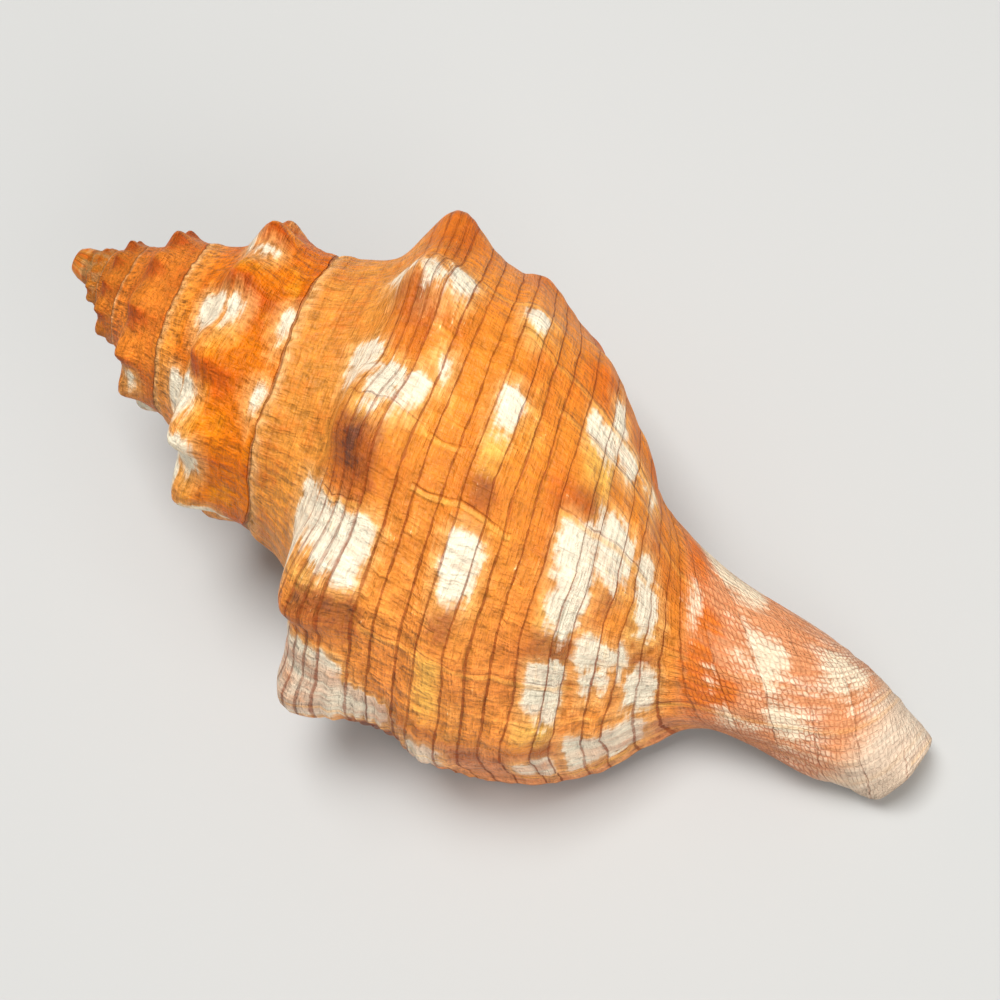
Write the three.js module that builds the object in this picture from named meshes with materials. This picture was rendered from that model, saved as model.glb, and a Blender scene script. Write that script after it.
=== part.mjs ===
// A knobbed, right-handed, high-spired sea shell with an open siphonal canal, lying on its aperture.
// Millimetres. The coiling axis is X, with the apex at low X. A place on the shell is a turn, which is
// 0 at the outer lip and -1 one whorl before it, and a station along the profile of that whorl, from
// the suture over the shoulder and the base to the end of the canal.
import * as THREE from 'three';

// Spiral of the suture: distance from the apex and radius, at turns 0, -1, -2 and so on.
const SUTURE_HEIGHTS = [35.3, 19.0, 10.0, 5.6, 3.1, 1.7];
const SUTURE_RADII = [17.6, 11.1, 7.0, 3.9, 2.3, 1.3];
const FIRST_TURN = -4.4;
const LIP_AZIMUTH = 97;

// Side of a whorl between two sutures, as shares of the chord between them: along it and out from it.
// It is a concave ramp, the shoulder, and a side that falls back to the next suture.
const WHORL_SIDE = [
  [0.0, 0.0], [0.16, 0.0], [0.31, 0.025], [0.42, 0.095], [0.53, 0.14],
  [0.66, 0.125], [0.79, 0.075], [0.9, 0.03],
];

// Base and canal of the last whorl, as height and radius: at the lip, half a whorl before it, and a
// whole whorl before it, where this is the inner lip. The first point of each is on the line that
// the suture keeps to, and the last is at the canal's end.
const BASE_AT_LIP = [
  [64.7, 30.0], [70.3, 28.4], [75.1, 25.2], [79.1, 21.2], [81.9, 17.4],
  [84.5, 12.8], [87.4, 9.1], [92.1, 7.2], [99.8, 6.8], [105.6, 5.8],
];
const BASE_HALF_BACK = [
  [48.4, 22.4], [52.4, 21.1], [57.5, 19.2], [62.0, 16.0], [66.0, 12.4],
  [70.0, 9.3], [75.1, 8.0], [89.3, 7.6], [100.4, 6.5], [109.7, 3.3],
];
const BASE_WHORL_BACK = [
  [35.3, 17.6], [39.1, 16.7], [42.4, 14.0], [44.9, 10.3], [47.4, 8.1],
  [51.9, 6.4], [61.4, 5.0], [78.1, 3.1], [94.9, 1.8], [107.7, 1.3],
];
const NEXT_SUTURE_STATION = WHORL_SIDE.length;
const TIP_STATION = NEXT_SUTURE_STATION + BASE_AT_LIP.length - 1;

// Bend of the axis: the canal leans to the lip side, and the apex a little the same way.
const CANAL_BEND = 2.8;
const CANAL_BEND_FROM = 67;
const CANAL_BEND_TO = 86;
const APEX_BEND = 0.7;
const APEX_BEND_TO = 39;

// Knobs: the shoulder row, and three lower rows on the same ribs. Heights are shares of the chord,
// and each row's slant is how far its knobs lie back from the shoulder's, in degrees.
const KNOB_ROWS = [
  { station: 4.1, reach: 1.25, height: 0.15, slant: 0 },
  { station: 8.5, reach: 0.8, height: 0.035, slant: 5 },
  { station: 10.2, reach: 0.75, height: 0.045, slant: 15 },
  { station: 12, reach: 0.6, height: 0.035, slant: 20 },
];
const KNOB_AZIMUTH = 79.5;
const KNOBS_LAST_WHORL = 9.35;
const KNOBS_EARLIER_WHORL = 11;
const KNOB_CHANGE_TURN = -0.77;
const KNOB_CHANGE_SPAN = 0.1;
const KNOB_WIDTH = 0.27;
const KNOB_LEAN = 0.2;
const KNOB_START_TURN = -4.3;
const KNOB_START_SPAN = 1.1;
const SMOOTH_WHORL_BULGE = 0.12;

// Wall: thin at the lip, full a little way in, and thinner again with depth by a share for each turn.
const WALL_AT_LIP = 1.3;
const WALL_INSIDE = 2.1;
const WALL_THINNING = 0.3;
const CALLUS = 0.5;

// Hollow: its depth in turns, for the aperture and for the canal's groove, and the depths over which
// wall and columella come in from the lip. The rest are stations of its back, its neck, where the
// canal starts, and its tip.
const HOLLOW_DEPTH = 1.35;
const CANAL_HOLLOW_DEPTH = 0.16;
const LIP_EASE = 0.06;
const NECK_EASE = 0.1;
const HOLLOW_BACK = 1.0;
const HOLLOW_NECK = 13;
const COLUMELLA_BACK_AT_LIP = 8.45;
const COLUMELLA_BACK = 8.7;
const COLUMELLA_NECK = 15;
const HOLLOW_TIP = 16.6;
const NECK_ROOM = 0.35;

// Mesh steps. The rings of the hollow crowd towards the lip, and the closing ones shrink to a point.
const STEPS_PER_WHORL = 54;
const SIDE_STEPS = 10;
const BASE_STEPS = 20;
const HOLLOW_RINGS = 22;
const RING_CROWDING = 1.3;
const CLOSING_RINGS = [0.8, 0.45];
const CLOSING_STEP = 0.012;
const APEX_RING = { height: 0.4, radiusFrom: 0.78, radiusTo: 0.9 };

// Rest: turns about the axis and across it that lay the shell on its lip, its canal and a knob.
const REST_ROLL = 17.87;
const REST_PITCH = 13.63;

const smooth = (x) => THREE.MathUtils.smoothstep(x, 0, 1);

// Logarithms of the suture's height and radius, on one curve through the whorls.
const sutureCurve = new THREE.SplineCurve(
  SUTURE_HEIGHTS.map((height, i) => new THREE.Vector2(Math.log(height), Math.log(SUTURE_RADII[i]))),
);

function suture(turn) {
  const place = sutureCurve.getPoint(-turn / (SUTURE_HEIGHTS.length - 1));
  return new THREE.Vector2(Math.exp(place.x), Math.exp(place.y));
}

// The first whorls are smooth and round, and the knobs and the shoulder come in over about one whorl.
function sculptureShare(turn) {
  return smooth((turn - KNOB_START_TURN) / KNOB_START_SPAN);
}

// Number of knobs between the lip and this turn: the last whorl has fewer of them.
function knobCount(turn) {
  const change = (turn - KNOB_CHANGE_TURN) / KNOB_CHANGE_SPAN;
  const eased = KNOB_CHANGE_SPAN * Math.log(1 + Math.exp(change));
  return KNOBS_EARLIER_WHORL * turn + (KNOBS_LAST_WHORL - KNOBS_EARLIER_WHORL) * eased;
}

function knobHeight(turn, station) {
  let height = 0;
  for (const row of KNOB_ROWS) {
    const ribTurn = turn + row.slant / 360;
    const count = knobCount(ribTurn) - knobCount((KNOB_AZIMUTH - LIP_AZIMUTH) / 360);
    const across = (count - Math.round(count)) / KNOB_WIDTH;
    const along = (station - row.station) / row.reach;
    height += row.height * Math.exp(-across * across - along * along);
  }
  return sculptureShare(turn) * height;
}

// Base of the last whorl by a parabola through its three outlines; further back it shrinks.
function basePoint(turn, index) {
  if (turn < -1) {
    const [height, radius] = BASE_WHORL_BACK[index];
    const shrunk = suture(turn + 1).divide(suture(0));
    return new THREE.Vector2(height * shrunk.x, radius * shrunk.y);
  }
  const back = -turn;
  const weights = [(1 - back) * (1 - 2 * back), 4 * back * (1 - back), back * (2 * back - 1)];
  const outlines = [BASE_AT_LIP, BASE_HALF_BACK, BASE_WHORL_BACK];
  const place = new THREE.Vector2();
  outlines.forEach((outline, k) => {
    place.x += weights[k] * outline[index][0];
    place.y += weights[k] * outline[index][1];
  });
  return place;
}

// One whorl's outline at a turn, without knobs, as a curve of height and radius.
function outlineCurve(turn) {
  const top = suture(turn);
  const base = BASE_AT_LIP.map((_, index) => basePoint(turn, index));
  const chord = base[0].clone().sub(top);
  const out = new THREE.Vector2(-chord.y, chord.x);
  const knobOut = new THREE.Vector2(-KNOB_LEAN, 1).normalize().multiplyScalar(chord.length());
  const shouldered = sculptureShare(turn);
  const side = WHORL_SIDE.map(([along, off]) => {
    const round = SMOOTH_WHORL_BULGE * Math.sin(Math.PI * along);
    const bulge = THREE.MathUtils.lerp(round, off, shouldered);
    return top.clone().addScaledVector(chord, along).addScaledVector(out, bulge);
  });
  return { curve: new THREE.SplineCurve([...side, ...base]), knobOut };
}

const outlines = new Map();

function outline(turn) {
  const key = Math.round(turn * 1e6);
  if (!outlines.has(key)) outlines.set(key, outlineCurve(turn));
  return outlines.get(key);
}

// Height and radius on the outside, and the same moved off the surface by a distance, inward if negative.
function onOutline(turn, station) {
  return outline(turn).curve.getPoint(station / TIP_STATION);
}

function offOutline(turn, station, distance) {
  const tangent = outline(turn).curve.getTangent(station / TIP_STATION);
  const place = onOutline(turn, station);
  return place.add(new THREE.Vector2(-tangent.y, tangent.x).multiplyScalar(distance));
}

function outside(turn, station) {
  const place = onOutline(turn, station);
  return place.addScaledVector(outline(turn).knobOut, knobHeight(turn, station));
}

// From height and radius at a turn to a point in space, round the bent axis.
function inSpace(turn, place) {
  const azimuth = THREE.MathUtils.degToRad(LIP_AZIMUTH + 360 * turn);
  const canal = CANAL_BEND * smooth((place.x - CANAL_BEND_FROM) / (CANAL_BEND_TO - CANAL_BEND_FROM));
  const apex = APEX_BEND * Math.max(0, 1 - (place.x / APEX_BEND_TO) ** 2);
  const y = -place.y * Math.sin(azimuth) - canal - apex;
  return new THREE.Vector3(place.x, y, place.y * Math.cos(azimuth));
}

// Points and faces of one closed surface.
class Surface {
  points = [];
  faces = [];

  add(point) {
    this.points.push(point.x, point.y, point.z);
    return this.points.length / 3 - 1;
  }

  quad(a, b, c, d) {
    this.faces.push(a, b, c, a, c, d);
  }

  fan(centre, row) {
    for (let k = 0; k + 1 < row.length; k += 1) this.faces.push(centre, row[k], row[k + 1]);
  }

  strip(rowA, rowB) {
    rowA.forEach((point, k) => {
      const next = (k + 1) % rowA.length;
      this.quad(point, rowA[next], rowB[next], rowB[k]);
    });
  }

  geometry() {
    const geometry = new THREE.BufferGeometry();
    geometry.setAttribute('position', new THREE.Float32BufferAttribute(this.points, 3));
    geometry.setIndex(this.faces);
    return geometry;
  }
}

// The outside: a grid of columns, one for each step of the spiral. A column's first point is the last
// side point of the column one whorl before it, and only the last whorl has base and canal.
function outsideColumns(surface) {
  const columns = [];
  const count = Math.round(-FIRST_TURN * STEPS_PER_WHORL);
  for (let i = 0; i <= count; i += 1) {
    const turn = (i - count) / STEPS_PER_WHORL;
    const column = [];
    const rows = i >= count - STEPS_PER_WHORL ? SIDE_STEPS + BASE_STEPS : SIDE_STEPS;
    for (let j = 0; j <= rows; j += 1) {
      const station = stationOfRow(j);
      const shared = j === 0 && i >= STEPS_PER_WHORL;
      const index = shared
        ? columns[i - STEPS_PER_WHORL][SIDE_STEPS]
        : surface.add(inSpace(turn, outside(turn, station)));
      column.push(index);
    }
    columns.push(column);
  }
  return columns;
}

function stationOfRow(row) {
  if (row <= SIDE_STEPS) return NEXT_SUTURE_STATION * row / SIDE_STEPS;
  return NEXT_SUTURE_STATION + (TIP_STATION - NEXT_SUTURE_STATION) * (row - SIDE_STEPS) / BASE_STEPS;
}

function coverOutside(surface, columns) {
  for (let i = 0; i + 1 < columns.length; i += 1) {
    const rows = Math.min(columns[i].length, columns[i + 1].length);
    for (let j = 0; j + 1 < rows; j += 1) {
      surface.quad(columns[i][j], columns[i + 1][j], columns[i + 1][j + 1], columns[i][j + 1]);
    }
  }
}

// The apex: a small dome over the first whorl, with a low step where that whorl starts.
function closeApex(surface, columns) {
  const rim = columns.slice(0, STEPS_PER_WHORL + 1).map((column) => column[0]);
  const ring = rim.map((_, i) => {
    const turn = FIRST_TURN + i / STEPS_PER_WHORL;
    const share = THREE.MathUtils.lerp(APEX_RING.radiusFrom, APEX_RING.radiusTo, i / STEPS_PER_WHORL);
    const edge = suture(turn);
    return surface.add(inSpace(turn, new THREE.Vector2(edge.x * APEX_RING.height, edge.y * share)));
  });
  const tip = surface.add(inSpace(FIRST_TURN, new THREE.Vector2(0, 0)));
  for (let i = 0; i < STEPS_PER_WHORL; i += 1) surface.quad(rim[i + 1], rim[i], ring[i], ring[i + 1]);
  surface.fan(ring[STEPS_PER_WHORL], [ring[0], ...columns[0]]);
  surface.fan(tip, [...ring].reverse());
  surface.fan(tip, [ring[0], ring[STEPS_PER_WHORL]]);
}

// The end of the canal, closed across from the inner lip.
function closeCanalEnd(surface, lastWhorl) {
  const rim = lastWhorl.map((column) => column[column.length - 1]);
  surface.fan(rim[0], rim.slice(1));
}

// Station where the hollow ends: near the canal's tip at the mouth, just past the neck deeper in.
function hollowEnd(depth, neck) {
  const share = Math.max(0, 1 - (depth / CANAL_HOLLOW_DEPTH) ** 3);
  return THREE.MathUtils.lerp(neck + NECK_ROOM, HOLLOW_TIP, share);
}

// Moves a station of the outside to the hollow, whose back, neck and end are at given stations.
function hollowStation(station, first, back, neck, end) {
  if (station <= HOLLOW_NECK) return THREE.MathUtils.mapLinear(station, first, HOLLOW_NECK, back, neck);
  return THREE.MathUtils.mapLinear(station, HOLLOW_NECK, TIP_STATION, neck, end);
}

// One ring round the hollow at a depth: along the columella to the canal, and back inside the outer wall.
function hollowRing(depth) {
  const turn = -depth;
  const full = THREE.MathUtils.lerp(WALL_AT_LIP, WALL_INSIDE, smooth(depth / LIP_EASE));
  const wall = full * (1 - WALL_THINNING * depth);
  const inside = smooth(depth / NECK_EASE);
  const columellaBack = THREE.MathUtils.lerp(COLUMELLA_BACK_AT_LIP, COLUMELLA_BACK, inside);
  const columellaNeck = THREE.MathUtils.lerp(HOLLOW_NECK, COLUMELLA_NECK, inside);
  const outerEnd = hollowEnd(depth, HOLLOW_NECK);
  const innerEnd = hollowEnd(depth, columellaNeck);
  const ring = [];
  for (let j = SIDE_STEPS; j <= SIDE_STEPS + BASE_STEPS; j += 1) {
    const station = hollowStation(
      stationOfRow(j), NEXT_SUTURE_STATION, columellaBack, columellaNeck, innerEnd,
    );
    const knob = knobHeight(turn - 1, station) * (1 - smooth(depth / LIP_EASE));
    const place = offOutline(turn - 1, station, CALLUS).addScaledVector(outline(turn - 1).knobOut, knob);
    ring.push(inSpace(turn, place));
  }
  for (let j = SIDE_STEPS + BASE_STEPS; j > 0; j -= 1) {
    const station = hollowStation(stationOfRow(j), 0, HOLLOW_BACK, HOLLOW_NECK, outerEnd);
    ring.push(inSpace(turn, offOutline(turn, station, -wall)));
  }
  return ring;
}

function centreOf(ring) {
  const centre = new THREE.Vector3();
  ring.forEach((point) => centre.addScaledVector(point, 1 / ring.length));
  return centre;
}

// The aperture: its rim, the hollow behind it, and the hollow's rounded end.
function closeHollow(surface, lastWhorl) {
  const innerLip = lastWhorl[0].slice(SIDE_STEPS);
  const outerLip = lastWhorl[lastWhorl.length - 1].slice(1).reverse();
  let rim = [...innerLip, ...outerLip];
  for (let k = 0; k <= HOLLOW_RINGS; k += 1) {
    const depth = HOLLOW_DEPTH * (k / HOLLOW_RINGS) ** RING_CROWDING;
    const ring = hollowRing(depth).map((point) => surface.add(point));
    surface.strip(rim, ring);
    rim = ring;
  }
  CLOSING_RINGS.forEach((share, k) => {
    const ring = hollowRing(HOLLOW_DEPTH + CLOSING_STEP * (k + 1));
    const centre = centreOf(ring);
    const closer = ring.map((point) => surface.add(point.lerp(centre, 1 - share)));
    surface.strip(rim, closer);
    rim = closer;
  });
  const deepest = hollowRing(HOLLOW_DEPTH + CLOSING_STEP * (CLOSING_RINGS.length + 1));
  const end = surface.add(centreOf(deepest));
  surface.fan(end, [...rim, rim[0]]);
}

function shellGeometry() {
  const surface = new Surface();
  const columns = outsideColumns(surface);
  const lastWhorl = columns.slice(columns.length - STEPS_PER_WHORL - 1);
  coverOutside(surface, columns);
  closeApex(surface, columns);
  closeCanalEnd(surface, lastWhorl);
  closeHollow(surface, lastWhorl);
  return surface.geometry();
}

// The shell is laid down, with its lowest point on the ground and its middle over the origin.
function restOnGround(geometry) {
  geometry.rotateX(THREE.MathUtils.degToRad(REST_ROLL));
  geometry.rotateY(THREE.MathUtils.degToRad(REST_PITCH));
  geometry.computeBoundingBox();
  const { min, max } = geometry.boundingBox;
  geometry.translate(-(min.x + max.x) / 2, -(min.y + max.y) / 2, -min.z);
  geometry.computeVertexNormals();
  return geometry;
}

const shell = new THREE.Mesh(
  restOnGround(shellGeometry()),
  new THREE.MeshStandardMaterial({ color: 0xe08a3c, roughness: 0.45, metalness: 0 }),
);
shell.name = 'shell';

const group = new THREE.Group();
group.add(shell);

export default group;
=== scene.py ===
# %% [markdown]
# # A knobbed orange sea shell
# The real object is one coiled tube of lime shell: a tall stepped spire, a big last whorl with rows of
# knobs, and a long open canal in front. It lies on its aperture, and the camera looks at its back.
# A sculptor could push a dense mesh about by hand, and a spiral could be swept by modifiers. Here the
# whole surface is worked out as a function of two numbers, because a shell grows by just such a rule:
# the turn says how long ago a spot was made, and the station says where it lies on the growing lip.
# The same two numbers then drive the colours, so lines and blotches follow the growth as real ones do.

import math

import bpy
import numpy as np
from mathutils import Matrix, Vector


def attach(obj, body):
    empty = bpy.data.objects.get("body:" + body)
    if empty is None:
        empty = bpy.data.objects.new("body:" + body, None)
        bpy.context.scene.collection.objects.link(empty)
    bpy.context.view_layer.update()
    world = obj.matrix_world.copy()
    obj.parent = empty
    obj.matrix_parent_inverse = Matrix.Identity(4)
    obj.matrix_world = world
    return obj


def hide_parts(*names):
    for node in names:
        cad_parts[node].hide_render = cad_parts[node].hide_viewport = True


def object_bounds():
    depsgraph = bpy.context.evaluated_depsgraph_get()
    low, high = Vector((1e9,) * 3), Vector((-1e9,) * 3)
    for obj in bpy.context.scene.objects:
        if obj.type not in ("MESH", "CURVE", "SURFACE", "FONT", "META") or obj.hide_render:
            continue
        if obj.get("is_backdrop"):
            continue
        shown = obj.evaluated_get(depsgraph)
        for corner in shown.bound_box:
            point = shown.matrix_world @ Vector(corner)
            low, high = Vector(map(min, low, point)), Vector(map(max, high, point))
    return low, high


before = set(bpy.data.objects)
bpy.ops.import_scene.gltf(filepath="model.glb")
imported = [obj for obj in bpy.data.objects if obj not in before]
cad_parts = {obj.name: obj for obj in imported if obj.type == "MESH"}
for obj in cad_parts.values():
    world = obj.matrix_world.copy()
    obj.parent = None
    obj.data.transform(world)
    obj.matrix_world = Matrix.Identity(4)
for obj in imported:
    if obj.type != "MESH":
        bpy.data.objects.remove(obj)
cad_low, cad_high = (np.array(corner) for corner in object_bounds())
MM = 0.001
print("frame box in mm:", np.round((cad_high - cad_low) / MM, 2))

# %% [markdown]
# ## Driving dimensions
# All shape values are millimetres on the coiling axis: how far from the apex, and how far from the axis.
# The suture is the line where one whorl meets the next. Its places at whole turns are few, and a smooth
# curve through their logarithms fills the rest, because each whorl is about 1.7 times the one before.

# %% Suture, whorl side and base
SUTURE = np.array([
    (35.3, 17.6), (19.0, 11.1), (10.0, 7.0), (5.6, 3.9), (3.1, 2.4), (1.75, 1.65), (1.0, 1.2),
])
LIP_AZIMUTH = 97.0
WHORL_SIDE = np.array([
    (0.0, 0.0), (0.16, 0.0), (0.31, 0.025), (0.42, 0.095), (0.53, 0.14),
    (0.66, 0.125), (0.79, 0.075), (0.9, 0.03),
])
BASE_AT_LIP = np.array([
    (64.7, 30.0), (70.3, 28.4), (75.1, 25.2), (79.1, 21.2), (81.9, 17.4),
    (84.5, 12.8), (87.4, 9.1), (92.1, 7.2), (100.2, 6.8), (107.2, 5.8),
])
BASE_HALF_BACK = np.array([
    (48.4, 22.4), (52.4, 21.1), (57.5, 19.2), (62.0, 16.0), (66.0, 12.4),
    (70.0, 9.3), (75.1, 8.0), (89.3, 7.6), (100.4, 6.5), (109.7, 3.3),
])
BASE_WHORL_BACK = np.array([
    (35.3, 17.6), (39.1, 16.7), (42.4, 14.0), (44.9, 10.3), (47.4, 8.1),
    (51.9, 6.4), (61.4, 5.0), (78.1, 3.1), (94.9, 1.8), (107.7, 1.3),
])
SUTURE_STATION = len(WHORL_SIDE)
TIP_STATION = SUTURE_STATION + len(BASE_AT_LIP) - 1
CANAL_BEND, CANAL_BEND_FROM, CANAL_BEND_TO = 2.8, 67.0, 86.0
APEX_BEND, APEX_BEND_TO = 0.7, 39.0
print("stations:", SUTURE_STATION, "at the next suture,", TIP_STATION, "at the end of the canal")

# %% [markdown]
# ## Curves as weights
# A smooth curve through points is a weighted sum of those points. The weights depend only on where along
# the curve the place is, so one small table of weights turns every whorl's outline into a dense row of
# places at once, with no loop over vertices.

# %% Curve helpers


def ease(x):
    """0 below 0, 1 above 1, and three x squared minus two x cubed between them."""
    x = np.clip(x, 0.0, 1.0)
    return x * x * (3.0 - 2.0 * x)


def hump(x):
    """A bell: e to the power of minus x squared."""
    return np.exp(-x * x)


def window(x, low, high, soft):
    """1 between low and high, falling to 0 over soft on either side."""
    return ease((x - low) / soft + 1) * ease((high - x) / soft + 1)


def curve_weights(count, position, slope=False):
    """Catmull-Rom weights of count points at each position, which runs from 0 to count - 1.
    With slope they give the direction along the curve, and the end points count double."""
    position = np.atleast_1d(np.asarray(position, float))
    first = np.clip(np.floor(position).astype(int), 0, count - 2)
    t = position - first
    if slope:
        shares = (-3 * t**2 + 4 * t - 1, 9 * t**2 - 10 * t, -9 * t**2 + 8 * t + 1, 3 * t**2 - 2 * t)
    else:
        shares = (-t**3 + 2 * t**2 - t, 3 * t**3 - 5 * t**2 + 2, -3 * t**3 + 4 * t**2 + t, t**3 - t**2)
    weights = np.zeros((len(position), count))
    for k, share in enumerate(shares):
        point = np.clip(first + k - 1, 0, count - 1)
        np.add.at(weights, (np.arange(len(position)), point), share / 2)
    return weights


def suture(turn):
    """Height and radius of the suture: e to the smooth curve through their logarithms at whole turns."""
    return np.exp(curve_weights(len(SUTURE), -np.asarray(turn, float)) @ np.log(SUTURE))


print("suture half a turn back, in mm:", np.round(suture(-0.5), 2))

# %% [markdown]
# ## One whorl's outline
# Between two sutures a whorl has a concave ramp, a shoulder and a side that falls to the next suture. Its
# points are shares of the chord between the sutures, so they shrink up the spire by themselves. The
# last whorl goes on into a base and a canal. Those change shape as the shell grows, so they are blended by
# a parabola through three outlines: at the lip, half a turn before it and a whole turn before it.

# %% Outlines
KNOB_START_TURN, KNOB_START_SPAN = -4.9, 0.8
SMOOTH_WHORL_BULGE = 0.12


def sculpture_share(turn):
    """The first whorls are round and smooth: 0 there, 1 from about the second whorl on."""
    return ease((turn - KNOB_START_TURN) / KNOB_START_SPAN)


def outlines(turn):
    """The 18 points of the outline at each turn, as height and radius, and the length of its chord."""
    back = -turn[:, None, None]
    base = ((1 - back) * (1 - 2 * back) * BASE_AT_LIP + 4 * back * (1 - back) * BASE_HALF_BACK
            + back * (2 * back - 1) * BASE_WHORL_BACK)
    shrunk = suture(np.minimum(turn + 1, 0)) / suture(0)
    base = np.where(back > 1, BASE_WHORL_BACK * shrunk[:, None, :], base)
    top = suture(turn)
    chord = base[:, 0] - top
    out = np.stack([-chord[:, 1], chord[:, 0]], axis=1)
    along, off = WHORL_SIDE.T
    share = sculpture_share(turn)[:, None]
    bulge = SMOOTH_WHORL_BULGE * np.sin(np.pi * along) * (1 - share) + off * share
    side = top[:, None] + chord[:, None] * along[None, :, None] + out[:, None] * bulge[:, :, None]
    return np.concatenate([side, base], axis=1), np.linalg.norm(chord, axis=1)


def on_outlines(points, station):
    """Places and outward directions on each turn's outline. station is one row, or one row for each turn."""
    count = points.shape[1]
    if station.ndim == 1:
        place = np.einsum("rk,ckx->crx", curve_weights(count, station), points)
        along = np.einsum("rk,ckx->crx", curve_weights(count, station, slope=True), points)
    else:
        flat = station.ravel()
        shape = (*station.shape, count)
        place = np.einsum("crk,ckx->crx", curve_weights(count, flat).reshape(shape), points)
        along = np.einsum("crk,ckx->crx", curve_weights(count, flat, slope=True).reshape(shape), points)
    length = np.linalg.norm(along, axis=2, keepdims=True)
    normal = np.stack([-along[..., 1], along[..., 0]], axis=2) / length
    return place, normal, length[..., 0]


def in_space(turn, place):
    """Height and radius at a turn, swung round the axis: x is the height, and y and z are the radius times
    minus the sine and the cosine of the azimuth. The canal and the apex lean a little towards the lip."""
    azimuth = np.radians(LIP_AZIMUTH + 360 * turn)
    height, radius = place[..., 0], place[..., 1]
    canal = CANAL_BEND * ease((height - CANAL_BEND_FROM) / (CANAL_BEND_TO - CANAL_BEND_FROM))
    apex = APEX_BEND * np.maximum(0, 1 - (height / APEX_BEND_TO)**2)
    y = -radius * np.sin(azimuth) - canal - apex
    return np.stack([height, y, radius * np.cos(azimuth)], axis=-1)


_, sample_chord = outlines(np.array([-0.25]))
print("a quarter turn back the whorl is", round(float(sample_chord[0]), 1), "mm from suture to suture")

# %% [markdown]
# ## Knobs
# Knobs grow at a steady beat, about nine to the last whorl and eleven to each earlier one. Counting them
# along the turn gives a phase that is 0 on every crest, and a bell of that phase times a bell of the
# station makes a row of knobs. The side that grew last is the steeper one, as on a fold. Four rows share
# the beat, and each lower row lags a little. The two lowest weaken at the lip. A low fold runs down from
# each big knob, and one swelling lies just behind the lip. The corner where the lip meets the whorl before
# stays plain, so that the lip closes on it.

# %% Knob rows
KNOB_ROWS = (
    {"station": 4.1, "reach": 1.25, "height": 0.137, "slant": 0.0, "lip_fade": 0.0},
    {"station": 8.5, "reach": 0.8, "height": 0.042, "slant": 5.0, "lip_fade": 0.0},
    {"station": 10.2, "reach": 0.75, "height": 0.058, "slant": 15.0, "lip_fade": 0.6},
    {"station": 12.0, "reach": 0.6, "height": 0.046, "slant": 20.0, "lip_fade": 0.6},
)
KNOB_AZIMUTH = 79.5
KNOBS_LAST_WHORL, KNOBS_EARLIER_WHORL = 9.35, 11.0
KNOB_CHANGE_TURN, KNOB_CHANGE_SPAN = -0.77, 0.1
KNOB_WIDTH, KNOB_SKEW = 0.27, 0.065
KNOB_LEAN = np.array([-0.2, 1.0]) / math.hypot(0.2, 1.0)
FOLD_HEIGHT, FOLD_WIDTH, FOLD_STATION, FOLD_REACH = 0.012, 0.3, 6.3, 1.6
CORNER_SPAN, CORNER_WINDOW = 0.025, (8.2, 9.5, 1.0)
LIP_FADE_TURN, LIP_FADE_SPAN = -0.045, 0.03
SWELL_HEIGHT, SWELL_TURN, SWELL_SPAN, SWELL_STATION, SWELL_REACH = 0.045, -0.1, 0.03, 4.3, 1.3


def knob_count(turn):
    """How many knobs lie between the lip and a turn: it rises faster before the last whorl."""
    change = (turn - KNOB_CHANGE_TURN) / KNOB_CHANGE_SPAN
    eased = KNOB_CHANGE_SPAN * np.log1p(np.exp(change))
    return KNOBS_EARLIER_WHORL * turn + (KNOBS_LAST_WHORL - KNOBS_EARLIER_WHORL) * eased


def knob_phase(turn, slant=0.0):
    """From -0.5 to 0.5 across each knob of a row, and 0 on its crest."""
    count = knob_count(turn + slant / 360) - knob_count((KNOB_AZIMUTH - LIP_AZIMUTH) / 360)
    return count - np.round(count)


def knob_height(turn, station):
    """Height of the knobs as a share of the chord: bells of phase and station, summed over the rows.
    Adding the squared sine of two phases to the phase makes the side that grew last the steeper one."""
    height = 0.0
    for row in KNOB_ROWS:
        phase = knob_phase(turn, row["slant"])
        across = (phase + KNOB_SKEW * np.sin(2 * np.pi * phase)**2) / KNOB_WIDTH
        along = (station - row["station"]) / row["reach"]
        fading = 1 - row["lip_fade"] * ease((turn - LIP_FADE_TURN) / LIP_FADE_SPAN)
        height = height + row["height"] * hump(across) * hump(along) * fading
    fold = FOLD_HEIGHT * hump(knob_phase(turn) / FOLD_WIDTH) * hump((station - FOLD_STATION) / FOLD_REACH)
    swell = SWELL_HEIGHT * hump((turn - SWELL_TURN) / SWELL_SPAN)
    swell = swell * hump((station - SWELL_STATION) / SWELL_REACH)
    under_lip = hump((turn + 1) / CORNER_SPAN) * window(station, *CORNER_WINDOW)
    return sculpture_share(turn) * (height + fold) * (1 - under_lip) + swell


print("knobs on the last whorl:", round(float(knob_count(0.0) - knob_count(-1.0)), 1))

# %% [markdown]
# ## Two coordinates that follow growth
# The lip doesn't cross the whorl straight: old lip edges run back over the ramp and sweep round the canal.
# The growth coordinate counts turns along those edges, so growth lines are its level lines. The cord
# coordinate counts spiral lines: it is a whole number on each dark line, and the lines are listed by
# station as they cross the middle of the back. On the canal they climb towards its end.

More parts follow.
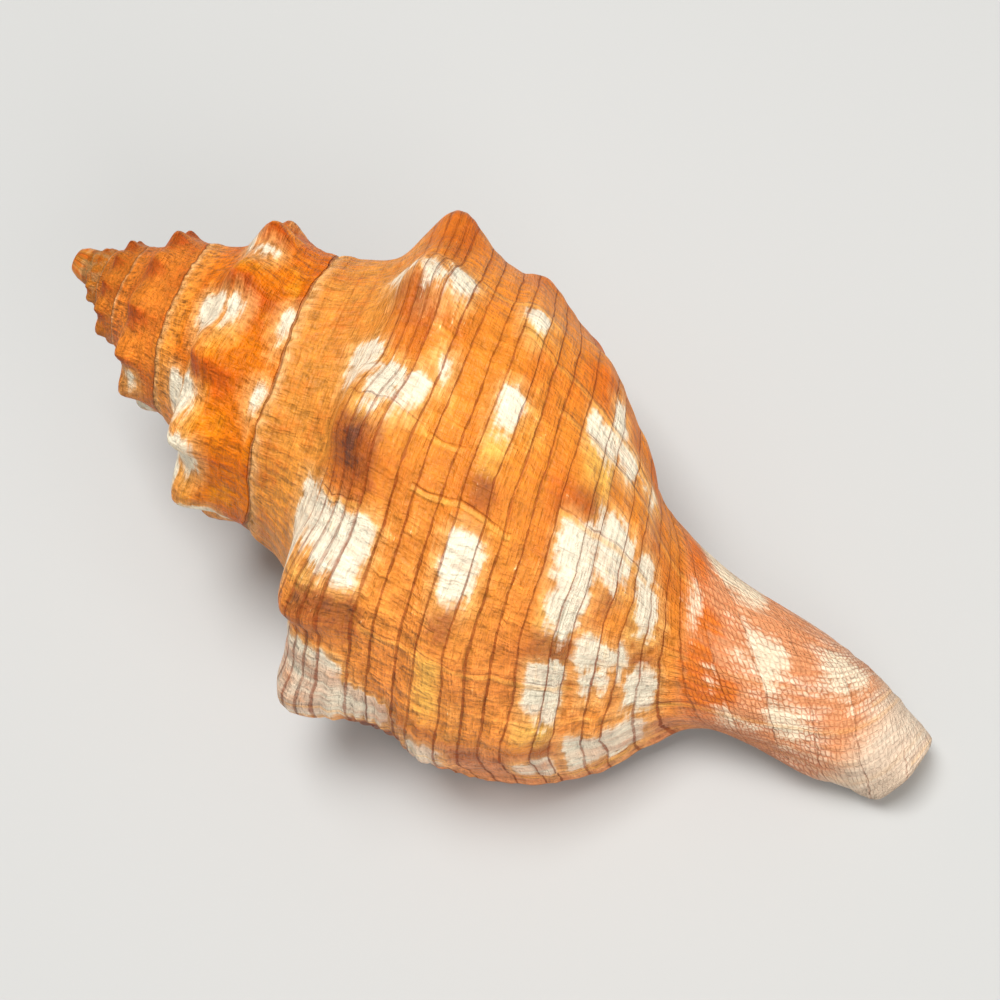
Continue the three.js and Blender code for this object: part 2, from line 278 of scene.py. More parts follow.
# %% Growth and cord coordinates
RAMP_SLANT, SHOULDER_STATION = 13.0 / 360, 4.0
CANAL_SWEEP, CANAL_STATION = 0.28, 13.5
CLOSE_SHARE, CLOSE_STATION, CLOSE_SPAN = 0.9, 15.4, 1.3
CANAL_CLIMB, CLIMB_STATION, CLIMB_SPAN, MIDDLE_TURN = 3.9, 12.6, 2.4, -0.25
CORD_STATIONS = np.array([
    0.0, 0.55, 1.1, 1.65, 2.2, 2.75, 3.3, 3.85, 4.25, 4.6, 4.95, 5.7, 6.25, 7.1, 7.85, 8.55, 8.95, 9.35,
    9.8, 10.45, 10.75, 11.45, 12.05, 12.7, 13.25, 13.85, 14.35, 14.9, 15.5, 16.1, 16.8, 17.5, 18.2, 19.0,
])


def growth(turn, station):
    """The turn, plus the ramp's slant up to the shoulder, plus the sweep round the canal. Near the canal's
    end the turn counts less and less, so that old lips lie along the end."""
    ramp = RAMP_SLANT * np.clip(station / SHOULDER_STATION, 0, 1)
    canal = np.maximum(0, station - CANAL_STATION) / (TIP_STATION - CANAL_STATION)
    close = CLOSE_SHARE * ease((station - CLOSE_STATION) / CLOSE_SPAN)
    return turn - close * (turn - MIDDLE_TURN) + ramp + CANAL_SWEEP * canal**2


def cord(turn, station):
    """Number of the spiral line at a station, and between two lines its share of the way."""
    climb = CANAL_CLIMB * ease((station - CLIMB_STATION) / CLIMB_SPAN) * (turn - MIDDLE_TURN)
    return np.interp(station - climb, CORD_STATIONS, np.arange(len(CORD_STATIONS)))


print("spiral lines:", len(CORD_STATIONS))

# %% [markdown]
# ## Small relief
# On top of the knobs the real surface is never smooth. It has convex bands between the spiral lines, uneven
# growth folds, a beaded edge along the suture, flutes in the newest band by the lip, and a thin glaze of
# callus by the aperture. Each is a height in millimetres along the outward direction. The uneven ones use
# value noise: random numbers on a grid, eased between, from a fixed seed.

# %% Relief
NOISE_SIZE = 256
noise_table = np.random.default_rng(11).uniform(-1, 1, (NOISE_SIZE, NOISE_SIZE))


def wander(x, y, layer=0):
    """Smooth noise from -1 to 1: the four random numbers round each place, eased between."""
    x, y = np.broadcast_arrays(x + 37.0 * layer, y + 91.0 * layer)
    i, j = np.floor(x).astype(int), np.floor(y).astype(int)
    u, v = ease(x - i), ease(y - j)
    at = [[noise_table[(i + a) % NOISE_SIZE, (j + b) % NOISE_SIZE] for b in (0, 1)] for a in (0, 1)]
    return (at[0][0] * (1 - u) + at[1][0] * u) * (1 - v) + (at[0][1] * (1 - u) + at[1][1] * u) * v


BODY_CHORD, RELIEF_SUNK = 32.0, 0.1
BAND_RELIEF, BAND_WINDOW = 0.11, (4.0, 14.0, 0.8)
FOLD_RELIEF, RIPPLE_RELIEF, LUMP_RELIEF = 0.17, 0.08, 0.18
FOLDS_PER_TURN, RIPPLES_PER_TURN, LUMPS_PER_TURN = 38.0, 110.0, 14.0
RAMP_EXTRA, RAMP_WINDOW = 0.5, (0.8, 3.5, 0.8)
LATE_EXTRA, LATE_TURN, LATE_SPAN, LATE_WINDOW = 1.3, -0.28, 0.15, (4.5, 13.0, 1.5)
BEAD_RELIEF, BEADS_PER_TURN, BEAD_WINDOW = 0.6, 96.0, (0.3, 0.4, 0.35)
TIP_RELIEF, TIP_LUMPS_PER_TURN, TIP_TURN, TIP_SPAN = 0.16, 11.0, -3.3, 0.8
FLUTE_RELIEF, FLUTES_PER_CORD = 0.16, 2.0
FLUTE_TURNS, FLUTE_WINDOW = (-0.1, 0.0, 0.01), (5.0, 8.6, 0.6)
LIP_BEVEL, LIP_BEVEL_TURN, BEVEL_STATION, BEVEL_REACH = 0.3, 0.006, 1.0, 1.5
CALLUS_GLAZE, CALLUS_GLAZE_TURN, GLAZE_REACH, GLAZE_SMOOTHS = 0.3, 0.03, 0.8, 0.6
COVERED_STATION, COVERED_REACH, COVERED_SPAN = SUTURE_STATION - 0.5, 0.4, 0.02


def relief(turn, station, chord):
    """Small relief in millimetres: the sum of the forms named above, each in its own window of stations or
    turns. What the next whorl covers stays plain."""
    grown, line = growth(turn, station), cord(turn, station)
    scale = np.minimum(1, chord / BODY_CHORD)
    bands = BAND_RELIEF * (0.5 - 0.5 * np.cos(2 * np.pi * line)) * window(station, *BAND_WINDOW)
    late = LATE_EXTRA * ease((turn - LATE_TURN) / LATE_SPAN) * window(station, *LATE_WINDOW)
    rougher = 1 + RAMP_EXTRA * window(station, *RAMP_WINDOW) + late
    folds = FOLD_RELIEF * wander(grown * FOLDS_PER_TURN, line * 0.25) * rougher
    ripples = RIPPLE_RELIEF * wander(grown * RIPPLES_PER_TURN, line * 0.5, 1) * rougher
    lumps = LUMP_RELIEF * wander(turn * LUMPS_PER_TURN, station * 0.9, 2)
    beads = 0.5 + 0.5 * wander(grown * BEADS_PER_TURN, 0.5, 3)
    beads = BEAD_RELIEF * window(station, *BEAD_WINDOW) * beads
    tip_lumps = wander(turn * TIP_LUMPS_PER_TURN, station * 0.45, 4)
    tip_lumps = TIP_RELIEF * tip_lumps * ease((TIP_TURN - turn) / TIP_SPAN)
    flutes = FLUTE_RELIEF * np.cos(2 * np.pi * line * FLUTES_PER_CORD)
    flutes = flutes * window(turn, *FLUTE_TURNS) * window(station, *FLUTE_WINDOW)
    glaze = CALLUS_GLAZE * ease(1 - (turn + 1) / CALLUS_GLAZE_TURN) * (turn >= -1)
    glaze = glaze * ease((station - SUTURE_STATION) / GLAZE_REACH)
    bevel = LIP_BEVEL * ease(1 + turn / LIP_BEVEL_TURN) * ease((station - BEVEL_STATION) / BEVEL_REACH)
    covered = ease((station - COVERED_STATION) / COVERED_REACH) * ease((-1 - turn) / COVERED_SPAN)
    small = scale * (bands + folds + ripples + lumps + beads - RELIEF_SUNK) * (1 - covered)
    return small * (1 - GLAZE_SMOOTHS * (glaze > 0)) + tip_lumps * (1 - covered) + flutes + glaze - bevel


print("relief near the middle of the back, in mm:", round(float(relief(-0.25, 6.0, BODY_CHORD)), 3))

# %% [markdown]
# ## The outside and the hollow as grids of places
# The outside is the outline, plus the knobs along their lean, plus the small relief along the normal.
# The hollow behind the aperture is a stack of rings. Each ring goes along the columella to the canal and
# comes back inside the outer wall. Low folds run on the columella, and fine ridges inside the outer lip.

# %% Places on the outside and in the hollow
WALL_AT_LIP, WALL_INSIDE, WALL_THINNING, CALLUS = 1.3, 2.1, 0.3, 0.5
HOLLOW_DEPTH, CANAL_HOLLOW_DEPTH, LIP_EASE, NECK_EASE = 1.35, 0.16, 0.06, 0.1
HOLLOW_BACK, HOLLOW_NECK, HOLLOW_TIP, NECK_ROOM = 1.0, 13.0, 16.6, 0.35
COLUMELLA_BACK, COLUMELLA_NECK = 8.9, 15.0
COLUMELLA_FOLDS, COLUMELLA_FOLD_HEIGHT, COLUMELLA_FOLD_WIDTH = (11.7, 12.3, 12.9), 0.5, 0.16
LIRA_HEIGHT, LIRAE_PER_CORD, LIRA_START, LIRA_WINDOW = 0.14, 2.0, 0.02, (3.0, 12.0, 1.0)
SUTURE_STRAY, SUTURE_BENDS, SUTURE_CRIMP, SUTURE_CRIMPS = 0.045, 19.0, 0.012, 96.0
SUTURE_CALM_TURN = 0.05


def suture_stray(turn):
    """Millimetres by which the suture at a turn strays along the axis: slow bends and fine crimps."""
    bends = SUTURE_STRAY * wander(turn * SUTURE_BENDS, 0.5, 6)
    crimps = SUTURE_CRIMP * wander(turn * SUTURE_CRIMPS, 0.5, 7)
    return (bends + crimps) * suture(turn[:, 0])[:, 1:] * ease(-turn / SUTURE_CALM_TURN)


def outside(turn, station):
    """Grid of points, one row of stations for each turn, and the millimetres in one station and one turn."""
    points, chord = outlines(turn)
    place, normal, per_station = on_outlines(points, station)
    t, s, size = turn[:, None], station[None, :], chord[:, None]
    upper, lower = suture_stray(t), suture_stray(np.minimum(t + 1, 0))
    place[..., 0] += upper * ease(1 - s) + lower * ease(s - SUTURE_STATION + 1) * (t < -1)
    place = place + (knob_height(t, s) * size)[..., None] * KNOB_LEAN
    place = place + relief(t, s, size)[..., None] * normal
    return in_space(t, place), per_station, 2 * np.pi * place[..., 1]


def hollow_end(depth, neck):
    """Station where the hollow ends: near the canal's tip at the mouth, just past the neck deeper in."""
    share = np.maximum(0, 1 - (depth / CANAL_HOLLOW_DEPTH)**3)
    return (neck + NECK_ROOM) * (1 - share) + HOLLOW_TIP * share


def hollow_station(station, first, back, neck, end):
    """Moves stations of the outside to the hollow in two straight stretches, before and past the neck."""
    before = back + (neck - back) * (station - first) / (HOLLOW_NECK - first)
    past = neck + (end - neck) * (station - HOLLOW_NECK) / (TIP_STATION - HOLLOW_NECK)
    return np.where(station <= HOLLOW_NECK, before, past)


def hollow(depth, base_stations, all_stations):
    """Rings at depths behind the lip, with the turn and station that each point lies by."""
    turn, inward = -depth, ease(depth / NECK_EASE)[:, None]
    fresh = 1 - ease(depth / LIP_EASE)[:, None]
    neck = HOLLOW_NECK * (1 - inward) + COLUMELLA_NECK * inward
    end = hollow_end(depth[:, None], neck)
    inner = hollow_station(base_stations[None, :], SUTURE_STATION, COLUMELLA_BACK, neck, end)
    points, chord = outlines(turn - 1)
    place, normal, _ = on_outlines(points, inner)
    folds = sum(hump((inner - station) / COLUMELLA_FOLD_WIDTH) for station in COLUMELLA_FOLDS)
    off = CALLUS + COLUMELLA_FOLD_HEIGHT * folds * (1 - fresh)
    knob = knob_height(turn[:, None] - 1, inner) * chord[:, None] * fresh
    inner_place = place + off[..., None] * normal + knob[..., None] * KNOB_LEAN
    outer_end = hollow_end(depth, HOLLOW_NECK)[:, None]
    outer = hollow_station(all_stations[None, ::-1], 0.0, HOLLOW_BACK, HOLLOW_NECK, outer_end)
    points, _ = outlines(turn)
    place, normal, _ = on_outlines(points, outer)
    wall = WALL_AT_LIP * fresh + WALL_INSIDE * (1 - fresh)
    lirae = LIRA_HEIGHT * np.cos(2 * np.pi * LIRAE_PER_CORD * cord(turn[:, None], outer))
    lirae = lirae * window(outer, *LIRA_WINDOW) * ease(depth / LIRA_START)[:, None]
    wall = wall * (1 - WALL_THINNING * depth[:, None]) + lirae
    outer_place = place - wall[..., None] * normal
    ring = in_space(turn[:, None], np.concatenate([inner_place, outer_place], axis=1))
    turns = np.concatenate([turn[:, None] - 1 + 0 * inner, turn[:, None] + 0 * outer], axis=1)
    return ring, turns, np.concatenate([inner, outer], axis=1)


test_points, _, _ = outside(np.array([-0.25]), np.array([4.0]))
print("shoulder a quarter turn back, in mm:", np.round(test_points[0, 0], 1))

# %% [markdown]
# ## A quilt of grids
# The shell is one closed surface, but its whorls need different numbers of rows. Each whorl is a grid, and
# grids share the points of their common edges. A point can carry two sets of coordinates, as on the
# suture, where one whorl's last row is the next whorl's first. So faces are made of samples: a sample is
# one use of a point, with its own turn and station. Where the number of rows changes, two neighbouring
# columns are zipped together with triangles in the order of their stations.

# %% Quilt


class Quilt:
    """Points, samples and faces of one surface made of stitched grids."""

    def __init__(self):
        self.points, self.quads, self.triangles = [], [], []
        self.looks = {name: [] for name in ("point", "turn", "station", "inside", "per_station", "per_turn")}
        self.point_count = self.sample_count = 0

    def place(self, points):
        """Adds points and returns their numbers, in the shape of the grid."""
        shape = points.shape[:-1]
        self.points.append(points.reshape(-1, 3))
        self.point_count += self.points[-1].shape[0]
        return np.arange(self.point_count - self.points[-1].shape[0], self.point_count).reshape(shape)

    def sample(self, point, turn, station, inside=0.0, per_station=1.0, per_turn=1.0):
        """Adds one use of each point, with its coordinates, and returns the samples' numbers."""
        values = np.broadcast_arrays(point, turn, station, inside, per_station, per_turn)
        for name, value in zip(self.looks, values):
            self.looks[name].append(value.ravel())
        self.sample_count += point.size
        return np.arange(self.sample_count - point.size, self.sample_count).reshape(point.shape)

    def sheet(self, grid):
        """Quads over a grid of samples."""
        corners = (grid[:-1, :-1], grid[1:, :-1], grid[1:, 1:], grid[:-1, 1:])
        self.quads.append(np.stack([c.ravel() for c in corners], axis=1))

    def fan(self, centre, row):
        """Triangles from one sample to each step of a row."""
        self.triangles.append(np.stack([np.full(len(row) - 1, centre), row[:-1], row[1:]], axis=1))

    def zip(self, one, one_station, other, other_station):
        """Triangles between two columns of unequal length, taken in the order of their steps' middles."""
        one_middle = (one_station[1:] + one_station[:-1]) / 2
        other_middle = (other_station[1:] + other_station[:-1]) / 2
        reached = other[np.searchsorted(other_middle, one_middle)]
        left = one[np.searchsorted(one_middle, other_middle, side="right")]
        self.triangles.append(np.stack([one[:-1], reached, one[1:]], axis=1))
        self.triangles.append(np.stack([left, other[:-1], other[1:]], axis=1))


COLUMNS_PER_TURN = 280
FIRST_TURN = -5
SIDE_ROWS = {-5: 12, -4: 16, -3: 26, -2: 46, -1: 78}
BASE_ROWS = 104
quilt = Quilt()
print("columns in all:", -FIRST_TURN * COLUMNS_PER_TURN + 1)

# %% [markdown]
# ## Stitching the outside
# The whorls are laid from the apex to the lip. Each takes its first row from the last row of the whorl
# before it, so the suture is a real shared edge with no gap. Only the last whorl has base and canal rows.

# %% Outside
suture_points = np.full(-FIRST_TURN * COLUMNS_PER_TURN + 1, -1)
previous = None
for whorl, side_rows in SIDE_ROWS.items():
    last = whorl == -1
    first_column = (whorl - FIRST_TURN) * COLUMNS_PER_TURN
    columns = np.arange(first_column, first_column + COLUMNS_PER_TURN + last)
    turns = FIRST_TURN + columns / COLUMNS_PER_TURN
    side = np.linspace(0, SUTURE_STATION, side_rows + 1)
    base = np.linspace(SUTURE_STATION, TIP_STATION, BASE_ROWS + 1)[1:] if last else np.empty(0)
    stations = np.concatenate([side, base])
    places, per_station, per_turn = outside(turns, stations)
    points = quilt.place(places if whorl == FIRST_TURN else places[:, 1:])
    suture_points[columns] = points[:, side_rows - (whorl != FIRST_TURN)]
    if whorl != FIRST_TURN:
        points = np.concatenate([suture_points[columns - COLUMNS_PER_TURN][:, None], points], axis=1)
    samples = quilt.sample(points, turns[:, None], stations[None, :], 0.0, per_station, per_turn)
    quilt.sheet(samples)
    if previous is not None:
        quilt.zip(*previous, samples[0, : side_rows + 1], side)
    else:
        apex_samples = samples
    if whorl == FIRST_TURN + 1:
        apex_end = samples[0, 0]
    previous = (samples[-1], stations)
    print("whorl", whorl, "has", len(turns), "columns of", len(stations) - 1, "rows")
last_whorl, last_stations = samples, stations
side_rows = SIDE_ROWS[-1]

# %% [markdown]
# ## Closing the apex and the canal's end
# The first whorl starts at the edge of a small dome, whose rings shrink to one point. The canal's end is a
# worn, blunt rim, closed by rings that shrink to its middle.

# %% Apex and canal end
APEX_RINGS, APEX_WIDENING, APEX_STATION = ((0.75, 0.92), (0.42, 0.77), (0.15, 0.48)), 0.5, 4.0
CANAL_END_RINGS, CANAL_END_INSIDE = (0.9, 0.7, 0.4), 0.2


def close_apex(rim, turns, column):
    """Rings of a dome over the first whorl, each ring's ends joined by the low step where it starts. A
    ring's height and radius are shares of the suture's, and its radius widens along the turn."""
    edge, step = suture(turns), column
    for height, radius in APEX_RINGS:
        wide = radius + (1 - radius) * APEX_WIDENING * (turns - turns[0])
        place = np.stack([edge[:, 0] * height, edge[:, 1] * wide], axis=1)
        ring = quilt.sample(quilt.place(in_space(turns, place)), turns, APEX_STATION)
        quilt.sheet(np.stack([ring, rim], axis=1))
        quilt.fan(ring[-1], np.concatenate([[ring[0]], step]))
        rim, step = ring, np.array([ring[0], ring[-1]])
    tip = quilt.sample(quilt.place(in_space(turns[:1], np.zeros((1, 2)))), turns[:1], APEX_STATION)
    quilt.fan(tip[0], rim[::-1])
    quilt.fan(tip[0], step)


rim_turns = FIRST_TURN + np.arange(COLUMNS_PER_TURN + 1) / COLUMNS_PER_TURN
close_apex(np.append(apex_samples[:, 0], apex_end), rim_turns, apex_samples[0])


def shrink(loop, centre, share):
    """Points of a closed loop moved towards a centre."""
    return centre + share * (loop - centre)


end_loop = last_whorl[:, -1]
end_points = places[:, -1]
end_centre = end_points.mean(axis=0)
for share in CANAL_END_RINGS:
    ring_points = quilt.place(shrink(end_points, end_centre, share))
    ring = quilt.sample(ring_points, turns, TIP_STATION, CANAL_END_INSIDE)
    quilt.sheet(np.stack([end_loop, ring], axis=1)[np.r_[: len(ring), 0]])
    end_loop = ring
middle = quilt.sample(quilt.place(end_centre[None, :]), turns[:1], TIP_STATION, CANAL_END_INSIDE)
quilt.fan(middle[0], np.append(end_loop, end_loop[0]))
print("samples so far:", quilt.sample_count)

# %% [markdown]
# ## Stitching the hollow
# The rim of the aperture is one loop: down the inner lip and back up the outer lip. A few rings at the
# very edge round the outer lip over, and the rest crowd towards the mouth, where the light reaches.

# %% Hollow
HOLLOW_RINGS, RING_CROWDING = 36, 1.6
LIP_SHARES, LIP_ROUNDING = np.array([0.25, 0.5, 0.75, 0.92]), 0.003
CLOSING_SHARES, CLOSING_STEP = (0.8, 0.45), 0.012
inner_rows, outer_rows = slice(side_rows, None), slice(-1, 0, -1)
rim = np.concatenate([last_whorl[0, inner_rows], last_whorl[-1, outer_rows]])
rim_place = np.concatenate([places[0, inner_rows], places[-1, outer_rows]])
base_stations, all_stations = last_stations[side_rows:], last_stations[1:]
steps = np.linspace(0, 1, HOLLOW_RINGS)**RING_CROWDING
depths = np.concatenate([
    LIP_ROUNDING * LIP_SHARES**2,
    LIP_ROUNDING + (HOLLOW_DEPTH - LIP_ROUNDING) * steps,
    HOLLOW_DEPTH + CLOSING_STEP * np.arange(1, len(CLOSING_SHARES) + 2),
])
rings, ring_turns, ring_stations = hollow(depths, base_stations, all_stations)
for k, share in enumerate(LIP_SHARES):
    rings[k] = rim_place * (1 - share) + rings[k] * share
for k, share in enumerate(CLOSING_SHARES, start=len(rings) - len(CLOSING_SHARES) - 1):
    rings[k] = shrink(rings[k], rings[k].mean(axis=0), share)
insides = np.append(LIP_SHARES, np.ones(len(rings) - len(LIP_SHARES)))
for k in range(len(rings) - 1):
    ring = quilt.sample(quilt.place(rings[k]), ring_turns[k], ring_stations[k], insides[k])
    quilt.sheet(np.stack([rim, ring], axis=1)[np.r_[: len(ring), 0]])
    rim = ring
deepest_point = quilt.place(rings[-1].mean(axis=0)[None, :])
deepest = quilt.sample(deepest_point, ring_turns[-1, :1], SUTURE_STATION, 1.0)
quilt.fan(deepest[0], np.append(rim, rim[0]))
print("samples in all:", quilt.sample_count, " points:", quilt.point_count)

# %% [markdown]
# ## Laying it down
# The real shell lies on its outer lip, the canal and one knob. Two turns, found by rolling the solid until
# it rests, bring it from its own axis to the ground. The same turns place the camera later.

# %% Rest on the ground
REST_ROLL, REST_PITCH = 17.87, 13.63
resting = np.array(Matrix.Rotation(math.radians(REST_PITCH), 3, "Y")
                   @ Matrix.Rotation(math.radians(REST_ROLL), 3, "X"))
grown_points = np.concatenate(quilt.points) @ resting.T
size = grown_points.max(axis=0) - grown_points.min(axis=0)
fit = min(1.0, float(((cad_high - cad_low) / MM / size).min()))
low, high = grown_points.min(axis=0) * fit, grown_points.max(axis=0) * fit
cad_middle = (cad_low + cad_high) / 2 / MM
shift = np.array([*(cad_middle - (low + high) / 2)[:2], cad_low[2] / MM - low[2]])
mesh_points = (grown_points * fit + shift) * MM


def laid(place):
    """A place on the shell's own axis, in millimetres, brought to the ground, in metres."""
    return Vector((resting @ np.array(place) * fit + shift) * MM)


print("size in mm:", np.round(size, 2), " fitted by", round(fit, 4), " moved by", np.round(shift, 2))

# %% [markdown]
# ## Marks as distances
# White, yellow and brown patches sit in blocks between spiral lines and old lips, and cream clouds and
# deep orange embers lie on the canal. Each is listed by its turns and stations, as read from the
# photograph. Embers share the mark of the yellow patches, because none of those is on the canal.
# A spot's mark is its depth inside the nearest patch in millimetres, negative outside, so the material can
# fray the edge at any zoom. On the sides that don't show, patches follow the knobs' beat at random: white
# behind a knob, and brown in front of it.

# %% Patches
WHITE = [
    (-0.398, -0.376, 2.2, 3.2), (-0.378, -0.365, 3.0, 5.0), (-0.392, -0.376, 4.8, 5.7),
    (-0.320, -0.282, 2.0, 3.9), (-0.308, -0.276, 3.8, 5.0), (-0.308, -0.288, 5.0, 5.5),
    (-0.215, -0.178, 3.2, 5.5), (-0.208, -0.150, 1.9, 3.6), (-0.328, -0.314, 5.7, 6.0),
    (-0.402, -0.380, 7.75, 8.6), (-0.334, -0.302, 7.9, 8.6), (-0.240, -0.196, 7.85, 8.75),
    (-0.366, -0.338, 9.85, 10.6), (-0.398, -0.360, 10.45, 10.9), (-0.374, -0.343, 10.75, 11.45),
    (-0.378, -0.358, 11.5, 12.3), (-0.303, -0.250, 10.7, 11.9), (-0.298, -0.262, 11.9, 12.6),
    (-0.275, -0.228, 12.2, 12.9), (-0.280, -0.236, 9.9, 10.7), (-0.252, -0.205, 10.1, 10.85),
    (-0.207, -0.172, 10.9, 12.3), (-0.178, -0.150, 11.1, 12.0), (-0.178, -0.130, 10.0, 10.8),
    (-0.180, -0.128, 12.35, 13.2), (-0.120, -0.052, 2.0, 5.4), (-0.100, -0.062, 4.0, 7.0),
    (-0.084, -0.040, 7.7, 8.7), (-0.110, -0.045, 11.0, 12.9), (-0.082, -0.052, 10.0, 10.8),
    (-1.318, -1.264, 1.5, 4.15), (-1.318, -1.284, 4.0, 5.0), (-1.216, -1.172, 2.4, 4.3),
    (-1.195, -1.128, 1.0, 2.7), (-1.335, -1.290, 6.9, 8.0), (-1.250, -1.213, 6.9, 7.85),
    (-1.425, -1.400, 2.4, 3.4), (-1.403, -1.386, 3.2, 5.2), (-1.165, -1.105, 2.9, 5.0),
    (-1.105, -1.065, 1.5, 4.0), (-1.068, -1.012, 4.2, 5.9), (-1.045, -1.005, 7.2, 8.0),
    (-2.125, -2.090, 4.4, 5.6), (-2.075, -2.035, 2.5, 4.0),
]
YELLOW = [
    (-0.345, -0.300, 9.95, 10.75), (-0.302, -0.268, 7.9, 8.6), (-0.218, -0.200, 9.9, 10.7),
    (-0.162, -0.108, 7.9, 8.55), (-0.130, -0.104, 9.95, 10.7), (-0.250, -0.218, 12.1, 12.95),
    (-0.180, -0.162, 3.4, 4.6), (-0.275, -0.255, 3.9, 4.6), (-0.392, -0.370, 7.8, 8.6),
]
BROWN = [
    (-0.270, -0.226, 3.6, 5.0), (-0.170, -0.150, 3.9, 5.9), (-0.362, -0.347, 3.2, 4.6),
    (-0.276, -0.254, 8.0, 8.7), (-0.194, -0.174, 8.0, 8.75), (-0.100, -0.092, 6.2, 11.6),
    (-0.202, -0.186, 9.9, 10.9), (-0.196, -0.182, 12.3, 13.1), (-0.248, -0.228, 11.1, 11.9),
    (-0.302, -0.290, 10.0, 10.6), (-0.090, -0.070, 8.7, 10.0), (-0.060, -0.020, 5.6, 7.6),
]
CLOUD = [
    (-0.500, -0.410, 14.2, 14.75), (-0.348, -0.325, 13.98, 14.2), (-0.330, -0.272, 13.98, 14.12),
    (-0.355, -0.335, 14.35, 14.65), (-0.345, -0.262, 14.58, 15.02), (-0.302, -0.250, 14.45, 14.95),
    (-0.244, -0.210, 14.3, 14.46), (-0.228, -0.165, 14.95, 15.5), (-0.425, -0.330, 15.42, 15.98),
    (-0.165, -0.122, 14.5, 15.1), (-0.620, -0.540, 14.0, 14.9), (-0.760, -0.680, 14.6, 15.4),
    (-0.900, -0.820, 14.0, 14.8), (-0.700, -0.620, 15.6, 16.2),
]
EMBER = [
    (-0.465, -0.355, 13.95, 14.22), (-0.335, -0.258, 14.08, 14.42), (-0.240, -0.128, 14.38, 14.72),
    (-0.262, -0.140, 14.02, 14.45), (-0.700, -0.560, 14.1, 14.6), (-0.860, -0.760, 14.3, 14.8),
]
HIDDEN_TURNS = ((-0.985, -0.49), (-1.985, -1.52), (-2.95, -2.55))
HIDDEN_ROWS = ((3.4, 5.6, 0.75), (7.7, 8.7, 0.6), (9.85, 10.9, 0.6), (11.0, 12.6, 0.55))
WHITE_SHARE, BROWN_SHARE = (-0.5, -0.12), (0.06, 0.26)
chance = np.random.default_rng(5)
turn_table = np.linspace(FIRST_TURN, 0.0, 4001)
count_table = knob_count(turn_table) - knob_count((KNOB_AZIMUTH - LIP_AZIMUTH) / 360)


def hidden_patches(share, likely):
    """Patches in one share of the knobs' beat, on the sides that the photo doesn't show."""
    patches = []
    for first, last in HIDDEN_TURNS:
        knobs = np.arange(math.ceil(np.interp(first, turn_table, count_table)),
                          math.floor(np.interp(last, turn_table, count_table)) + 1)
        rows = HIDDEN_ROWS if first > -1 else HIDDEN_ROWS[:1]
        for low_station, high_station, presence in rows:
            for knob in knobs[chance.random(len(knobs)) < presence * likely]:
                shares = np.array(share) + chance.uniform(-0.06, 0.06, 2)
                start, finish = np.interp(knob + shares, count_table, turn_table)
                stations = (low_station, high_station) + chance.uniform(-0.25, 0.25, 2)
                patches.append((start, finish, *stations))
    return patches


YELLOW += EMBER
WHITE += hidden_patches(WHITE_SHARE, 1.0)
BROWN += hidden_patches(BROWN_SHARE, 0.6)
MARK_REACH, CORNER_RADIUS, SOFT_END = 3.0, 1.3, 0.45
TURNS_BEFORE, TURNS_AFTER = 0.08, 0.12


def depth_in(patches, turn, station, per_turn, per_station):
    """Millimetres inside the nearest patch, negative outside, clipped to the reach. A patch is a box with
    rounded corners, and its end that grew last is softer, because the distance counts less there."""
    depth = np.full(turn.shape, -MARK_REACH)
    for start, finish, first, last in patches:
        near = np.flatnonzero((turn > start - TURNS_BEFORE) & (turn < finish + TURNS_AFTER))
        along = np.minimum(turn[near] - start, SOFT_END * (finish - turn[near])) * per_turn[near]
        across = np.minimum(station[near] - first, last - station[near]) * per_station[near]
        short = np.stack([CORNER_RADIUS - along, CORNER_RADIUS - across])
        outside_corner = np.linalg.norm(np.maximum(short, 0), axis=0)
        inward = CORNER_RADIUS - outside_corner - np.minimum(short.max(axis=0), 0)
        depth[near] = np.maximum(depth[near], inward)
    return np.clip(depth, -MARK_REACH, MARK_REACH)


looks = {name: np.concatenate(values) for name, values in quilt.looks.items()}
turn, station = looks["turn"], looks["station"]
scales = (looks["per_turn"], looks["per_station"])
marks = np.stack([depth_in(p, turn, station, *scales) for p in (WHITE, YELLOW, BROWN, CLOUD)], axis=1)
print("patches:", len(WHITE), "white,", len(YELLOW), "yellow,", len(BROWN), "brown,", len(CLOUD), "cloudy")

# %% [markdown]
# ## Distances for the fine lines
# The material draws lines of a real width, so it needs to know how many millimetres lie between two spiral
# lines, and how many make one turn of growth. Both are kept beside the marks, with a third value that
# says how fast the knobs fall away in front of a spot, where the material makes the orange deeper.

# %% Line distances
line = cord(turn, station)
widths = np.append(np.diff(CORD_STATIONS), 1.0)[line.astype(int)]
line_gap = widths * looks["per_station"]
on_hollow = looks["inside"] > 0
LEE_STEP, LEE_FULL, LEE_LIMIT, HOLLOW_TURN_LENGTH = 0.004, 0.012, 1.5, 100.0
lee = (knob_height(turn - LEE_STEP, station) - knob_height(turn + LEE_STEP, station)) / LEE_FULL
lee = np.clip(lee, -LEE_LIMIT, LEE_LIMIT) * ~on_hollow
turn_length = np.where(on_hollow, HOLLOW_TURN_LENGTH, looks["per_turn"])
detail = np.stack([line_gap, turn_length, lee], axis=1)
body_gaps = np.percentile(line_gap[~on_hollow & (turn > -1)], [10, 50, 90])
print("spiral lines on the last whorl lie", np.round(body_gaps, 2), "mm apart")

# %% [markdown]
# ## One mesh
# The points and faces become one closed mesh. Turn, station, growth, spiral line, marks and distances are
# stored on the face corners, because on a suture two whorls with different values share each point.

